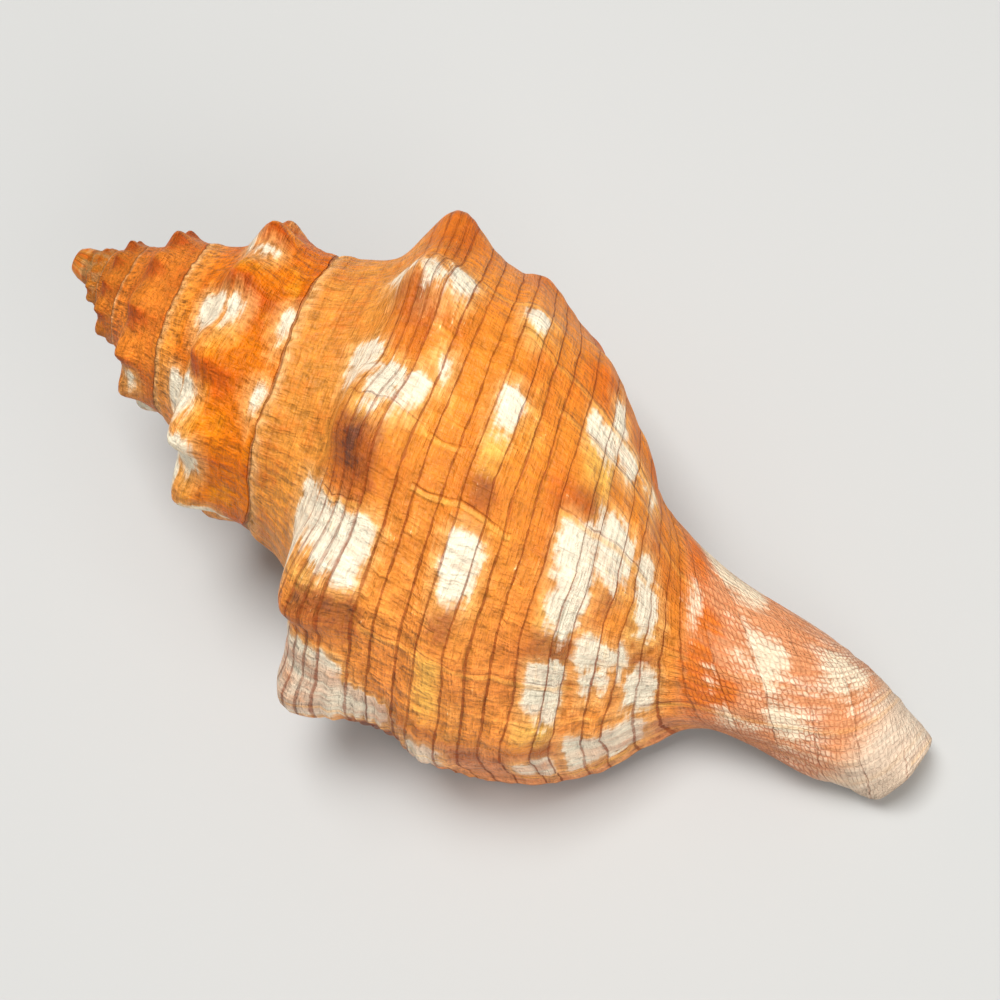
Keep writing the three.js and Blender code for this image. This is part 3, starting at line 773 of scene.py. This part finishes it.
# %% Mesh
quads, triangles = np.concatenate(quilt.quads), np.concatenate(quilt.triangles)
corner_samples = np.concatenate([quads.ravel(), triangles.ravel()])
face_sizes = np.concatenate([np.full(len(quads), 4), np.full(len(triangles), 3)])
mesh = bpy.data.meshes.new("shell_surface")
mesh.vertices.add(len(mesh_points))
mesh.vertices.foreach_set("co", mesh_points.astype(np.float32).ravel())
mesh.loops.add(len(corner_samples))
mesh.loops.foreach_set("vertex_index", looks["point"][corner_samples].astype(np.int32))
mesh.polygons.add(len(face_sizes))
mesh.polygons.foreach_set("loop_start", (np.cumsum(face_sizes) - face_sizes).astype(np.int32))
mesh.polygons.foreach_set("use_smooth", np.ones(len(face_sizes), bool))
mesh.update(calc_edges=True)


def keep_on_corners(name, kind, key, values):
    """Stores one row of values for each face corner under a name."""
    attribute = mesh.attributes.new(name, kind, "CORNER")
    attribute.data.foreach_set(key, values[corner_samples].astype(np.float32).ravel())


keep_on_corners("growth", "FLOAT2", "vector", np.stack([growth(turn, station), line], axis=1))
keep_on_corners("place", "FLOAT_VECTOR", "vector", np.stack([turn, station, looks["inside"]], axis=1))
keep_on_corners("marks", "FLOAT_COLOR", "color", marks)
keep_on_corners("detail", "FLOAT_VECTOR", "vector", detail)
shell = bpy.data.objects.new("shell_surface", mesh)
bpy.context.scene.collection.objects.link(shell)
print("triangles:", 2 * len(quads) + len(triangles), " mesh needed repair:", mesh.validate())

# %% [markdown]
# ## Shader sums as Python
# The finish is worked out in shader nodes. To keep it readable, a node's output is wrapped, and arithmetic
# on the wrapper adds the nodes that do it. Any other node comes from one method.

# %% Wires


def colour(red, green, blue):
    """A colour given as the 0 to 255 numbers of a picture, turned to linear light."""
    share = np.array([red, green, blue]) / 255
    linear = np.where(share <= 0.04045, share / 12.92, ((share + 0.055) / 1.055)**2.4)
    return (*linear.tolist(), 1.0)


class Wire:
    """A node's output in a shader. Sums with it add Math nodes."""

    def __init__(self, tree, socket=None):
        self.tree, self.socket = tree, socket

    def node(self, kind, settings, inputs, output=0):
        """Adds a node of this type with its settings, then sets or links its inputs by name or number."""
        made = self.tree.nodes.new(kind)
        for name, value in settings.items():
            setattr(made, name, value)
        for name, value in inputs.items():
            if isinstance(value, Wire):
                self.tree.links.new(value.socket, made.inputs[name])
            else:
                made.inputs[name].default_value = value
        return Wire(self.tree, made.outputs[output])

    def sum(self, operation, *values):
        """A Math node."""
        return self.node("ShaderNodeMath", {"operation": operation}, dict(enumerate(values)))

    def __add__(self, other):
        return self.sum("ADD", self, other)

    def __radd__(self, other):
        return self.sum("ADD", other, self)

    def __sub__(self, other):
        return self.sum("SUBTRACT", self, other)

    def __rsub__(self, other):
        return self.sum("SUBTRACT", other, self)

    def __mul__(self, other):
        return self.sum("MULTIPLY", self, other)

    def __rmul__(self, other):
        return self.sum("MULTIPLY", other, self)

    def __abs__(self):
        return self.sum("ABSOLUTE", self)

    def whole(self):
        """The greatest whole number that isn't above this value."""
        return self.sum("FLOOR", self)

    def between(self, low, high):
        """0 at low, 1 at high, and eased between: low may be the greater one."""
        steps = {"Value": self, "From Min": low, "From Max": high}
        return self.node("ShaderNodeMapRange", {"interpolation_type": "SMOOTHSTEP"}, steps)

    def times(self, amount):
        """This colour made darker or lighter by a factor."""
        return self.node("ShaderNodeVectorMath", {"operation": "SCALE"}, {0: self, 3: amount})

    def parts(self):
        """The three values of a vector."""
        split = self.node("ShaderNodeSeparateXYZ", {}, {"Vector": self})
        outputs = split.socket.node.outputs
        return [Wire(self.tree, outputs[k]) for k in range(3)]


material = bpy.data.materials.new("shell")
material.use_nodes = True
tree = material.node_tree
tree.nodes.clear()
start = Wire(tree)


def stored(name, output="Vector"):
    """A value that the mesh keeps on its corners."""
    return start.node("ShaderNodeAttribute", {"attribute_name": name}, {}, output)


def blend(one, other, share):
    """One colour going over to another by a share."""
    return start.node("ShaderNodeMix", {"data_type": "RGBA"}, {0: share, 6: one, 7: other}, 2)


def layered(colour_now, *coats):
    """A colour with coats over it, each a colour and its share."""
    for coat, share in coats:
        colour_now = blend(colour_now, coat, share)
    return colour_now


def blend_value(one, other, share):
    """One value going over to another by a share."""
    return start.node("ShaderNodeMix", {"data_type": "FLOAT"}, {0: share, 2: one, 3: other})


def noise_at(place, scale=1.0, detail=2.0):
    """Smooth noise from 0 to 1 over a place."""
    return start.node("ShaderNodeTexNoise", {}, {"Vector": place, "Scale": scale, "Detail": detail})


NOISE_SPREAD = 3.2


def speckle(x, y, layer=0.0, detail=2.0):
    """Smooth noise from about -1 to 1 over two coordinates, a different one in each layer."""
    place = start.node("ShaderNodeCombineXYZ", {}, {"X": x, "Y": y, "Z": layer})
    return (noise_at(place, detail=detail) - 0.5) * NOISE_SPREAD


def chance_of(x, y=0.0):
    """A random number from 0 to 1 for each whole pair of coordinates."""
    place = start.node("ShaderNodeCombineXYZ", {}, {"X": x, "Y": y, "Z": 0.0})
    return start.node("ShaderNodeTexWhiteNoise", {"noise_dimensions": "3D"}, {"Vector": place})


print("material started")

# %% [markdown]
# ## Where a spot lies
# The stored turn and station say which part of the shell a spot is on. From them come soft zones: the
# ramp above the shoulder, the spire, the canal, the inside, and what grew late, close to the lip. Each
# zone is 0 at the first of its two edge values and 1 at the second.

# %% Zones
turn_at, station_at, inside_at = stored("place").parts()
grown_at, line_at, _ = stored("growth").parts()
white_in, yellow_in, brown_in = stored("marks").parts()
cloud_in = stored("marks", "Alpha")
gap_at, around_at, lee_at = stored("detail").parts()
RAMP_EDGE, CANAL_EDGE, CANAL_END_EDGE = (3.9, 2.7), (13.7, 14.3), (15.9, 16.4)
SPIRE_EDGE, UPPER_EDGE, TIP_EDGE = (-0.985, -1.0), (-1.9, -2.15), (-3.2, -4.2)
INSIDE_EDGE, LATE_EDGE, NEWEST_EDGE = (0.55, 0.95), (-0.3, -0.12), (-0.1, -0.085)
ramp = station_at.between(*RAMP_EDGE)
spire = turn_at.between(*SPIRE_EDGE)
upper_spire = turn_at.between(*UPPER_EDGE)
tip_whorls = turn_at.between(*TIP_EDGE)
canal = station_at.between(*CANAL_EDGE)
canal_end = station_at.between(*CANAL_END_EDGE)
inside = inside_at.between(*INSIDE_EDGE)
body = (1 - spire) * (1 - ramp) * (1 - canal)
late = turn_at.between(*LATE_EDGE) * body
newest = turn_at.between(*NEWEST_EDGE) * body
print("zones ready")

# %% [markdown]
# ## Threads in two directions
# Spiral lines are thin, dark and a little uneven. The bands between them carry finer striae along the
# lines, and threads and folds cross them in the direction of growth. All of these are noise stretched
# along the stored coordinates, so they bend round knobs and up the spire with the shell: the number with
# grown_at says how many grains fit in a turn, and the one with line_at how many fit between two spiral
# lines. The canal's net is made of small cells, whose joints are where two cells are equally near.

# %% Threads
GRAINS_PER_METRE, MOTTLES_PER_METRE = 1100.0, 800.0
CELLS_PER_TURN, CELLS_PER_LINE, CELL_UNEVENNESS = 76.0, 8.5, 0.6
shake = speckle(grown_at * 260.0, line_at * 1.5, 1.0) * 0.05
cord_drift = speckle(grown_at * 9.0, line_at * 0.9, 2.0)
sway = speckle(grown_at * 40.0, line_at * 0.8, 11.0) * 0.08
nearest_line = (line_at + sway + 0.5).whole()
line_offset = abs(line_at + sway - nearest_line) * gap_at
line_width = 0.06 + 0.06 * late + 0.08 * speckle(grown_at * 90.0, nearest_line * 7.0, 3.0)
on_line = (line_offset + shake).between(line_width + 0.09, line_width - 0.03)
# Painted shade beside each spiral line, where the convex bands dip into the line's groove.
line_groove_shade = line_offset.between(0.7, 0.1) * (body + 0.3 * ramp)
grain_place = start.node("ShaderNodeTexCoord", {}, {}, "Object")
grain = (noise_at(grain_place, GRAINS_PER_METRE) - 0.5) * NOISE_SPREAD
thread_bend = speckle(grown_at * 40.0, line_at * 0.7, 13.0) * 1.8
thread = speckle(grown_at * 430.0 + thread_bend, line_at * 1.6 + grain * 0.3, 4.0)
stroke = speckle(grown_at * 120.0, line_at * 9.0 + cord_drift * 0.6, 14.0)
fold = speckle(grown_at * 120.0, line_at * 0.3, 5.0)
stria = speckle(grown_at * 9.0, line_at * 7.0 + cord_drift * 0.6, 6.0, 1.0)
patchy = speckle(grown_at * 24.0, line_at * 0.6, 7.0)
cloudy = speckle(grown_at * 9.0, line_at * 0.4, 8.0)
rough_edge = speckle(grown_at * 75.0, line_at * 1.6, 9.0, 3.0) * 0.8 + grain * 0.35
band = line_at.whole()
band_tint = chance_of(band) - 0.5
cell_along = grown_at * CELLS_PER_TURN + grain * 0.25
cell_across = line_at * CELLS_PER_LINE + cord_drift * 0.5 + grain * 0.12
cell_place = start.node("ShaderNodeCombineXYZ", {}, {"X": cell_along, "Y": cell_across, "Z": 0.0})
cell_kind = {"voronoi_dimensions": "2D", "feature": "DISTANCE_TO_EDGE"}
cell_edge = start.node("ShaderNodeTexVoronoi", cell_kind, {
    "Vector": cell_place, "Scale": 1.0, "Randomness": CELL_UNEVENNESS,
})
cell_joint = cell_edge.between(0.22, 0.03)
print("threads ready")

# %% [markdown]
# ## Old lips
# When a shell stops growing for a while, its lip leaves a thin dark line with a paler one behind it. The
# dark line is partly the shell's own colour and partly painted shadow under the old lip's small step, and
# the pale one is a painted highlight on the step's raised edge. About thirty of these lie in a turn, each
# shown only on a few stretches. They are whole numbers of the growth coordinate, so a random number for
# each line and each group of bands decides where it shows.

# %% Old lips
RESTS_PER_TURN = 32.5
rest_count = grown_at * RESTS_PER_TURN + 0.2 * speckle(line_at * 0.45, 3.0, 10.0)
nearest_rest = (rest_count + 0.5).whole()
rest_offset = (rest_count - nearest_rest) * around_at * (1 / RESTS_PER_TURN)
rest_shown = chance_of(nearest_rest, (line_at * 0.22 + nearest_rest * 0.37).whole()).between(0.55, 1.0)
rest_shown = rest_shown * (1 - ramp) * (1 - 0.8 * spire) * (1 - 0.6 * canal)
# The old lip's dark line is partly its own colour and partly painted shadow under its step; the pale line
# behind it is a painted highlight on the step's raised edge.
rest_line_and_shadow = abs(rest_offset + shake * 1.5).between(0.13, 0.0) * rest_shown * (0.7 + 0.6 * patchy)
rest_highlight = abs(rest_offset - 0.45).between(0.45, 0.1) * rest_shown * 1.4
print("old lips ready")

# %% [markdown]
# ## Ground colours
# The shell is orange all over, but each part has its own cast: tan on the ramp, deep orange on the spire,
# paler with light grains at its tip, salmon and cream on the canal, duller in the newest band by the lip,
# and cream inside. Soft clouds, whole bands and the lee of the knobs vary it. What grew late on the body is
# lighter and pinker: the pink is its own, and the lightening is painted light where the lamps reach the
# lower body less.

# %% Ground
ORANGE, DEEP, BRIGHT = colour(236, 142, 44), colour(208, 104, 22), colour(248, 178, 80)
RAMP_TAN, RAMP_DEEP = colour(234, 152, 60), colour(200, 112, 36)
SPIRE_ORANGE, SPIRE_DEEP, SPIRE_GOLD = colour(232, 124, 0), colour(194, 82, 0), colour(240, 152, 14)
UPPER_ORANGE, UPPER_DEEP = colour(236, 134, 40), colour(198, 88, 20)
TIP_TAN, TIP_BROWN, TIP_PALE = colour(255, 156, 54), colour(248, 124, 30), colour(255, 200, 130)
SALMON, EMBER_SHADE, CANAL_PALE = colour(228, 154, 104), colour(224, 114, 16), colour(238, 206, 174)
# The late orange is partly the pinker colour of the late body and partly painted light, lighter where the
# lamps reach the lower body less.
LIP_TINT, LATE_ORANGE_AND_PAINTED_LIGHT = colour(214, 140, 98), colour(254, 160, 78)
CREAM, INSIDE_GLOW = colour(247, 230, 198), colour(244, 200, 150)

shade = 0.32 + 0.45 * cloudy + 0.6 * band_tint + 0.15 * stria + 0.2 * rough_edge + 0.3 * lee_at
bright = 0.55 * patchy - 0.6 * band_tint + 0.25 * stria + 0.3 * rough_edge - 0.2 * lee_at
ramp_shade = 0.35 + 0.25 * stria + 0.5 * patchy + 0.5 * fold + 0.4 * rough_edge
ramp_ground = blend(RAMP_TAN, RAMP_DEEP, ramp_shade.between(0.0, 1.1))
spire_shade = (0.3 + 0.5 * cloudy + 0.25 * fold + 0.3 * rough_edge + 0.4 * lee_at).between(-0.1, 1.1)
spire_gold = (0.15 + 0.8 * patchy - 0.3 * lee_at).between(0.2, 1.1) * 0.8
spire_ground = layered(
    SPIRE_ORANGE, (SPIRE_DEEP, spire_shade), (SPIRE_GOLD, spire_gold),
    (RAMP_TAN, station_at.between(1.3, 0.5) * 0.7),
)
pale_grains = noise_at(grain_place, MOTTLES_PER_METRE).between(0.5, 0.64) * 0.6
tip_ground = layered(TIP_TAN, (TIP_BROWN, spire_shade), (TIP_PALE, pale_grains))
canal_start = station_at.between(13.9, 14.15) * station_at.between(15.1, 14.5)
canal_shade = (0.5 * canal_start + 0.4 * cloudy + 0.8 * patchy).between(0.35, 1.2) * 0.8
canal_pale = (0.4 * station_at.between(14.4, 15.6) + 1.1 * patchy + 0.5 * rough_edge).between(0.1, 1.1)
canal_pale = canal_pale * (1 - canal_shade)
canal_by_lip = turn_at.between(-0.2, -0.12) * 0.5
canal_ground = layered(
    SALMON, (EMBER_SHADE, canal_shade), (CANAL_PALE, canal_pale), (LIP_TINT, canal_by_lip),
)
ground = layered(
    ORANGE, (DEEP, shade.between(-0.1, 1.1)), (BRIGHT, bright.between(0.1, 1.0) * 0.85),
    (LATE_ORANGE_AND_PAINTED_LIGHT, late * (0.5 + 0.3 * rough_edge)), (LIP_TINT, newest * (0.6 + 0.3 * patchy)),
    (ramp_ground, ramp), (spire_ground, spire),
    (blend(UPPER_ORANGE, UPPER_DEEP, spire_shade), upper_spire), (tip_ground, tip_whorls * 0.9),
    (canal_ground, canal),
)
print("ground ready")

# %% [markdown]
# ## Patches
# A patch's depth is shifted a little for each band, and frayed by the threads, so that its edge steps like
# the real ones: crisp along a spiral line, and ragged across it. White patches have a peach halo, and the
# middle of a brown one is made nearly black. Pale dashes lie between the threads: partly pale marks of the
# shell's own and partly painted highlights on the threads' ridges. The coats are listed from the lowest to
# the uppermost.

# %% Patches on the surface
WHITE_SHADE, WHITE_TAN = colour(249, 236, 208), colour(232, 190, 136)
YELLOW_SHADE, BROWN_SHADE, DASH_AND_GLINT_SHADE = colour(246, 188, 84), colour(158, 82, 34), colour(254, 226, 166)
PEACH_SHADE, BROWN_CORE_SHADE, END_SHADE = colour(248, 188, 112), colour(98, 56, 42), colour(226, 207, 182)
fray = (chance_of(band, 5.0) - 0.5) * 1.1 + thread * 0.12 + fold * 0.25 + stria * 0.3 + rough_edge * 0.8
fray = (fray + patchy * 0.35) * (1 - 0.45 * spire)
white_mask = (white_in + fray).between(-0.35, 0.5)
peach_mask = (white_in + fray * 1.2).between(-1.9, 0.2) * 0.65
on_canal = station_at.between(13.5, 13.8)
yellow_mask = (yellow_in + fray * 1.1).between(-0.9, 1.6 - 0.9 * on_canal) * (0.75 + 0.15 * on_canal)
brown_mask = (brown_in + fray * 1.3 + thread * 0.4 + grain * 0.4).between(-0.8, 1.1) * 0.82
# The middle of a brown patch is darkened nearly to black.
brown_core_mask = (brown_in + fray * 0.9 + stroke * 0.4 + grain * 0.7).between(0.9, 2.0) * 0.85
cloud_mask = (cloud_in + fray + cloudy * 0.4 - cell_joint * 0.3).between(-0.9, 0.8) * 0.92
cloud_mask = blend_value(cloud_mask, 0.85, canal_end)
# Pale dashes: partly pale marks of the shell's own, partly painted highlights on the threads' ridges.
dashes_and_glints = (0.9 * stroke + 0.4 * thread + 0.7 * patchy).between(0.75, 1.35) * (body + 0.3 * spire) * 0.8
white_stain = (0.7 * fold + 0.4 * stria + 0.6 * patchy + 0.5 * rough_edge).between(0.1, 1.3) * 0.75
white = blend(WHITE_SHADE, WHITE_TAN, white_stain)
white = blend(white, LIP_TINT, turn_at.between(-0.12, -0.1) * (0.35 + 0.4 * fold + 0.4 * patchy))
finish = layered(
    ground, (PEACH_SHADE, peach_mask), (blend(YELLOW_SHADE, EMBER_SHADE, on_canal), yellow_mask),
    (BROWN_SHADE, brown_mask), (BROWN_CORE_SHADE, brown_core_mask), (DASH_AND_GLINT_SHADE, dashes_and_glints),
    (blend(CREAM, END_SHADE, canal_end), cloud_mask), (white, white_mask),
)
print("patches ready")

# %% [markdown]
# ## Lines over everything
# The spiral lines cross patches and ground alike. They are strong on the body, weaker on the canal, where
# the net takes their place, and nearly gone on the ramp and the spire. Old lips are dark too, partly in
# their own colour and partly as painted shadow under their step, and the suture has a painted shadow line
# in its crease; the suture's edge is pale and crimped. Last, painted light and shade follow the threads,
# folds and grain, mixed with mottling of the shell's own, most of all near the lip, on the ramp and on the
# spire. Beside each spiral line the colour gets painted shade, and the canal gets painted shade where it
# turns under.

# %% Lines
LINE_AND_SHADOW_SHADE, NET_SHADE, EDGE_SHADE = colour(150, 62, 4), colour(188, 88, 42), colour(248, 208, 146)
canal_fading = (0.45 + 0.4 * turn_at.between(-0.24, -0.34)) * canal
line_strength = (1 - 0.75 * ramp) * (1 - 0.88 * spire) * (1 - canal_fading)
line_strength = line_strength * (0.5 + 0.5 * gap_at.between(0.6, 1.9))
line_ink = (0.75 + 0.25 * thread + 0.25 * patchy) * on_line * line_strength
net_growth = (0.7 - abs(fold) * 2.6).between(0.0, 0.7)
net = cell_joint * (canal + 0.15 * ramp) * (0.6 - 0.35 * cloud_mask) + net_growth * 0.2 * body
net = net * (0.75 + 0.75 * patchy + 0.2 * grain) * (1 - 0.6 * canal_end) * (1 - 0.8 * spire)
edge = station_at.between(0.5, 0.15) * (0.5 + 0.5 * fold + 0.4 * rough_edge) * 0.7
# The suture's dark line is painted shadow in the crease where one whorl sits proud of the next.
suture_shadow = station_at.between(0.09, 0.03) + station_at.between(7.93, 7.98) * spire
finish = layered(
    finish, (EDGE_SHADE, edge), (NET_SHADE, net), (BRIGHT, rest_highlight * 0.4),
    (LINE_AND_SHADOW_SHADE, line_ink * 0.9), (LINE_AND_SHADOW_SHADE, rest_line_and_shadow * 0.75), (LINE_AND_SHADOW_SHADE, suture_shadow * 0.6),
)
# Painted light and shade, mixed with mottling of the shell's own: the threads, strokes, folds and grain that
# raise the bump also lighten and darken the colour.
mottle_and_relief_shade = 0.13 * thread + 0.11 * stroke + 0.12 * fold + 0.25 * rough_edge
mottle_and_relief_shade = mottle_and_relief_shade * (1 + 0.7 * late + 0.9 * ramp + 0.9 * spire) * (1 - 0.45 * white_mask)
# Painted shade on the canal where it turns under.
canal_underside_shade = canal * turn_at.between(-0.26, -0.1)
finish = finish.times(1 + mottle_and_relief_shade + 0.08 * stria - 0.1 * line_groove_shade - 0.14 * canal_underside_shade)
finish = blend(finish, INSIDE_GLOW, inside)
roughness = 0.44 + 0.05 * fold + 0.12 * on_line * line_strength - 0.14 * inside
print("lines ready")

# %% [markdown]
# ## Fine grooves
# Lines and threads are also felt: the spiral lines are shallow grooves, and growth threads stand up a
# little. They are too fine for the mesh, so a bump in millimetres carries them.

# %% Bump and shader
height = 0.05 * thread + 0.05 * stroke + 0.13 * fold + 0.2 * rough_edge
height = height * (1 + 0.8 * late) * (1 - 0.4 * canal) + 0.05 * stria
height = height - 0.07 * on_line * (1 - 0.6 * ramp) * (1 - 0.7 * spire)
height = height - 0.07 * cell_joint * canal + 0.1 * rest_highlight - 0.12 * rest_line_and_shadow - 0.2 * suture_shadow
bump = start.node("ShaderNodeBump", {}, {"Strength": 1.0, "Distance": MM, "Height": height * (1 - inside)})
shader = start.node("ShaderNodeBsdfPrincipled", {}, {
    "Base Color": finish, "Roughness": roughness, "Normal": bump, "IOR": 1.5, "Specular IOR Level": 0.22,
})
end = tree.nodes.new("ShaderNodeOutputMaterial")
tree.links.new(shader.socket, end.inputs["Surface"])
mesh.materials.append(material)
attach(shell, "root")
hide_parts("shell")
print("nodes in the material:", len(tree.nodes))

# %% [markdown]
# ## Floor, light and camera
# A pale floor and large soft lamps stand in for a light tent. The camera looks down on the shell's back as
# in the photograph, from 167 millimetres above its axis. It is tilted along the axis by nearly six degrees,
# so that the canal is a little nearer, and rolled by thirty degrees, so that the shell lies across the
# picture from upper left to lower right. All this is worked out on the shell's own axis and laid down
# with it.

# %% Stage
FLOOR_SIZE = 3.0
floor_mesh = bpy.data.meshes.new("floor")
half = FLOOR_SIZE / 2
floor_corners = [(-half, -half, 0), (half, -half, 0), (half, half, 0), (-half, half, 0)]
floor_mesh.from_pydata(floor_corners, [], [(0, 1, 2, 3)])
floor = bpy.data.objects.new("floor", floor_mesh)
bpy.context.scene.collection.objects.link(floor)
floor_material = bpy.data.materials.new("floor")
floor_material.use_nodes = True
floor_shader = floor_material.node_tree.nodes["Principled BSDF"]
floor_shader.inputs["Base Color"].default_value = colour(196, 196, 194)
floor_shader.inputs["Roughness"].default_value = 0.9
floor_mesh.materials.append(floor_material)
floor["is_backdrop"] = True

# %% Camera
CAMERA_TILT, CAMERA_ROLL = math.radians(5.8), math.radians(30.0)
SEEN_ON_AXIS, SEEN_ASIDE, SEEN_BELOW = 55.0746, 0.279, 0.6138
CAMERA_HEIGHT, AIMED_ASIDE = 167.4, 1.5066
across = np.array([math.cos(CAMERA_TILT), 0, -math.sin(CAMERA_TILT)])
towards = np.array([math.sin(CAMERA_TILT), 0, math.cos(CAMERA_TILT)])
upwards = np.array([0.0, 1.0, 0.0])
seen = np.array([SEEN_ON_AXIS, 0, 0]) - SEEN_ASIDE * across - SEEN_BELOW * upwards
eye_at = laid(seen + CAMERA_HEIGHT * towards)
target_at = laid(seen + AIMED_ASIDE * across)
up_at = Vector(resting @ (math.cos(CAMERA_ROLL) * upwards - math.sin(CAMERA_ROLL) * across))
back = (eye_at - target_at).normalized()
right = up_at.cross(back).normalized()
turned = Matrix((right, back.cross(right), back)).transposed()
camera_data = bpy.data.cameras.new("camera")
camera_data.sensor_width, camera_data.lens = 36.0, 54.0
camera_data.clip_start, camera_data.clip_end = 0.01, 10.0
camera = bpy.data.objects.new("camera", camera_data)
camera.matrix_world = Matrix.Translation(eye_at) @ turned.to_4x4()
bpy.context.scene.collection.objects.link(camera)
bpy.context.scene.camera = camera
print("camera at", np.round(np.array(eye_at), 3), "looking along", np.round(-np.array(back), 3))

# %% Lights
world = bpy.data.worlds.new("world")
world.use_nodes = True
world.node_tree.nodes["Background"].inputs["Color"].default_value = colour(244, 242, 238)
world.node_tree.nodes["Background"].inputs["Strength"].default_value = 0.33
bpy.context.scene.world = world
bpy.context.scene.view_settings.view_transform = "Standard"


def lamp(name, shares, distance, width, power):
    """A square lamp in a direction given by shares of the camera's own right, up and back."""
    direction = right * shares[0] + back.cross(right) * shares[1] + back * shares[2]
    direction.normalize()
    data = bpy.data.lights.new(name, "AREA")
    data.size, data.energy = width, power
    light = bpy.data.objects.new(name, data)
    middle = (Vector(cad_low) + Vector(cad_high)) / 2
    light.matrix_world = (Matrix.Translation(middle + direction * distance)
                          @ direction.to_track_quat("Z", "Y").to_matrix().to_4x4())
    bpy.context.scene.collection.objects.link(light)
    light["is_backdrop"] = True


lamp("key", (-0.25, 0.6, 0.9), distance=0.6, width=0.3, power=3.8)
lamp("fill", (0.5, -0.5, 0.8), distance=0.8, width=0.6, power=3.4)
print("lights placed")
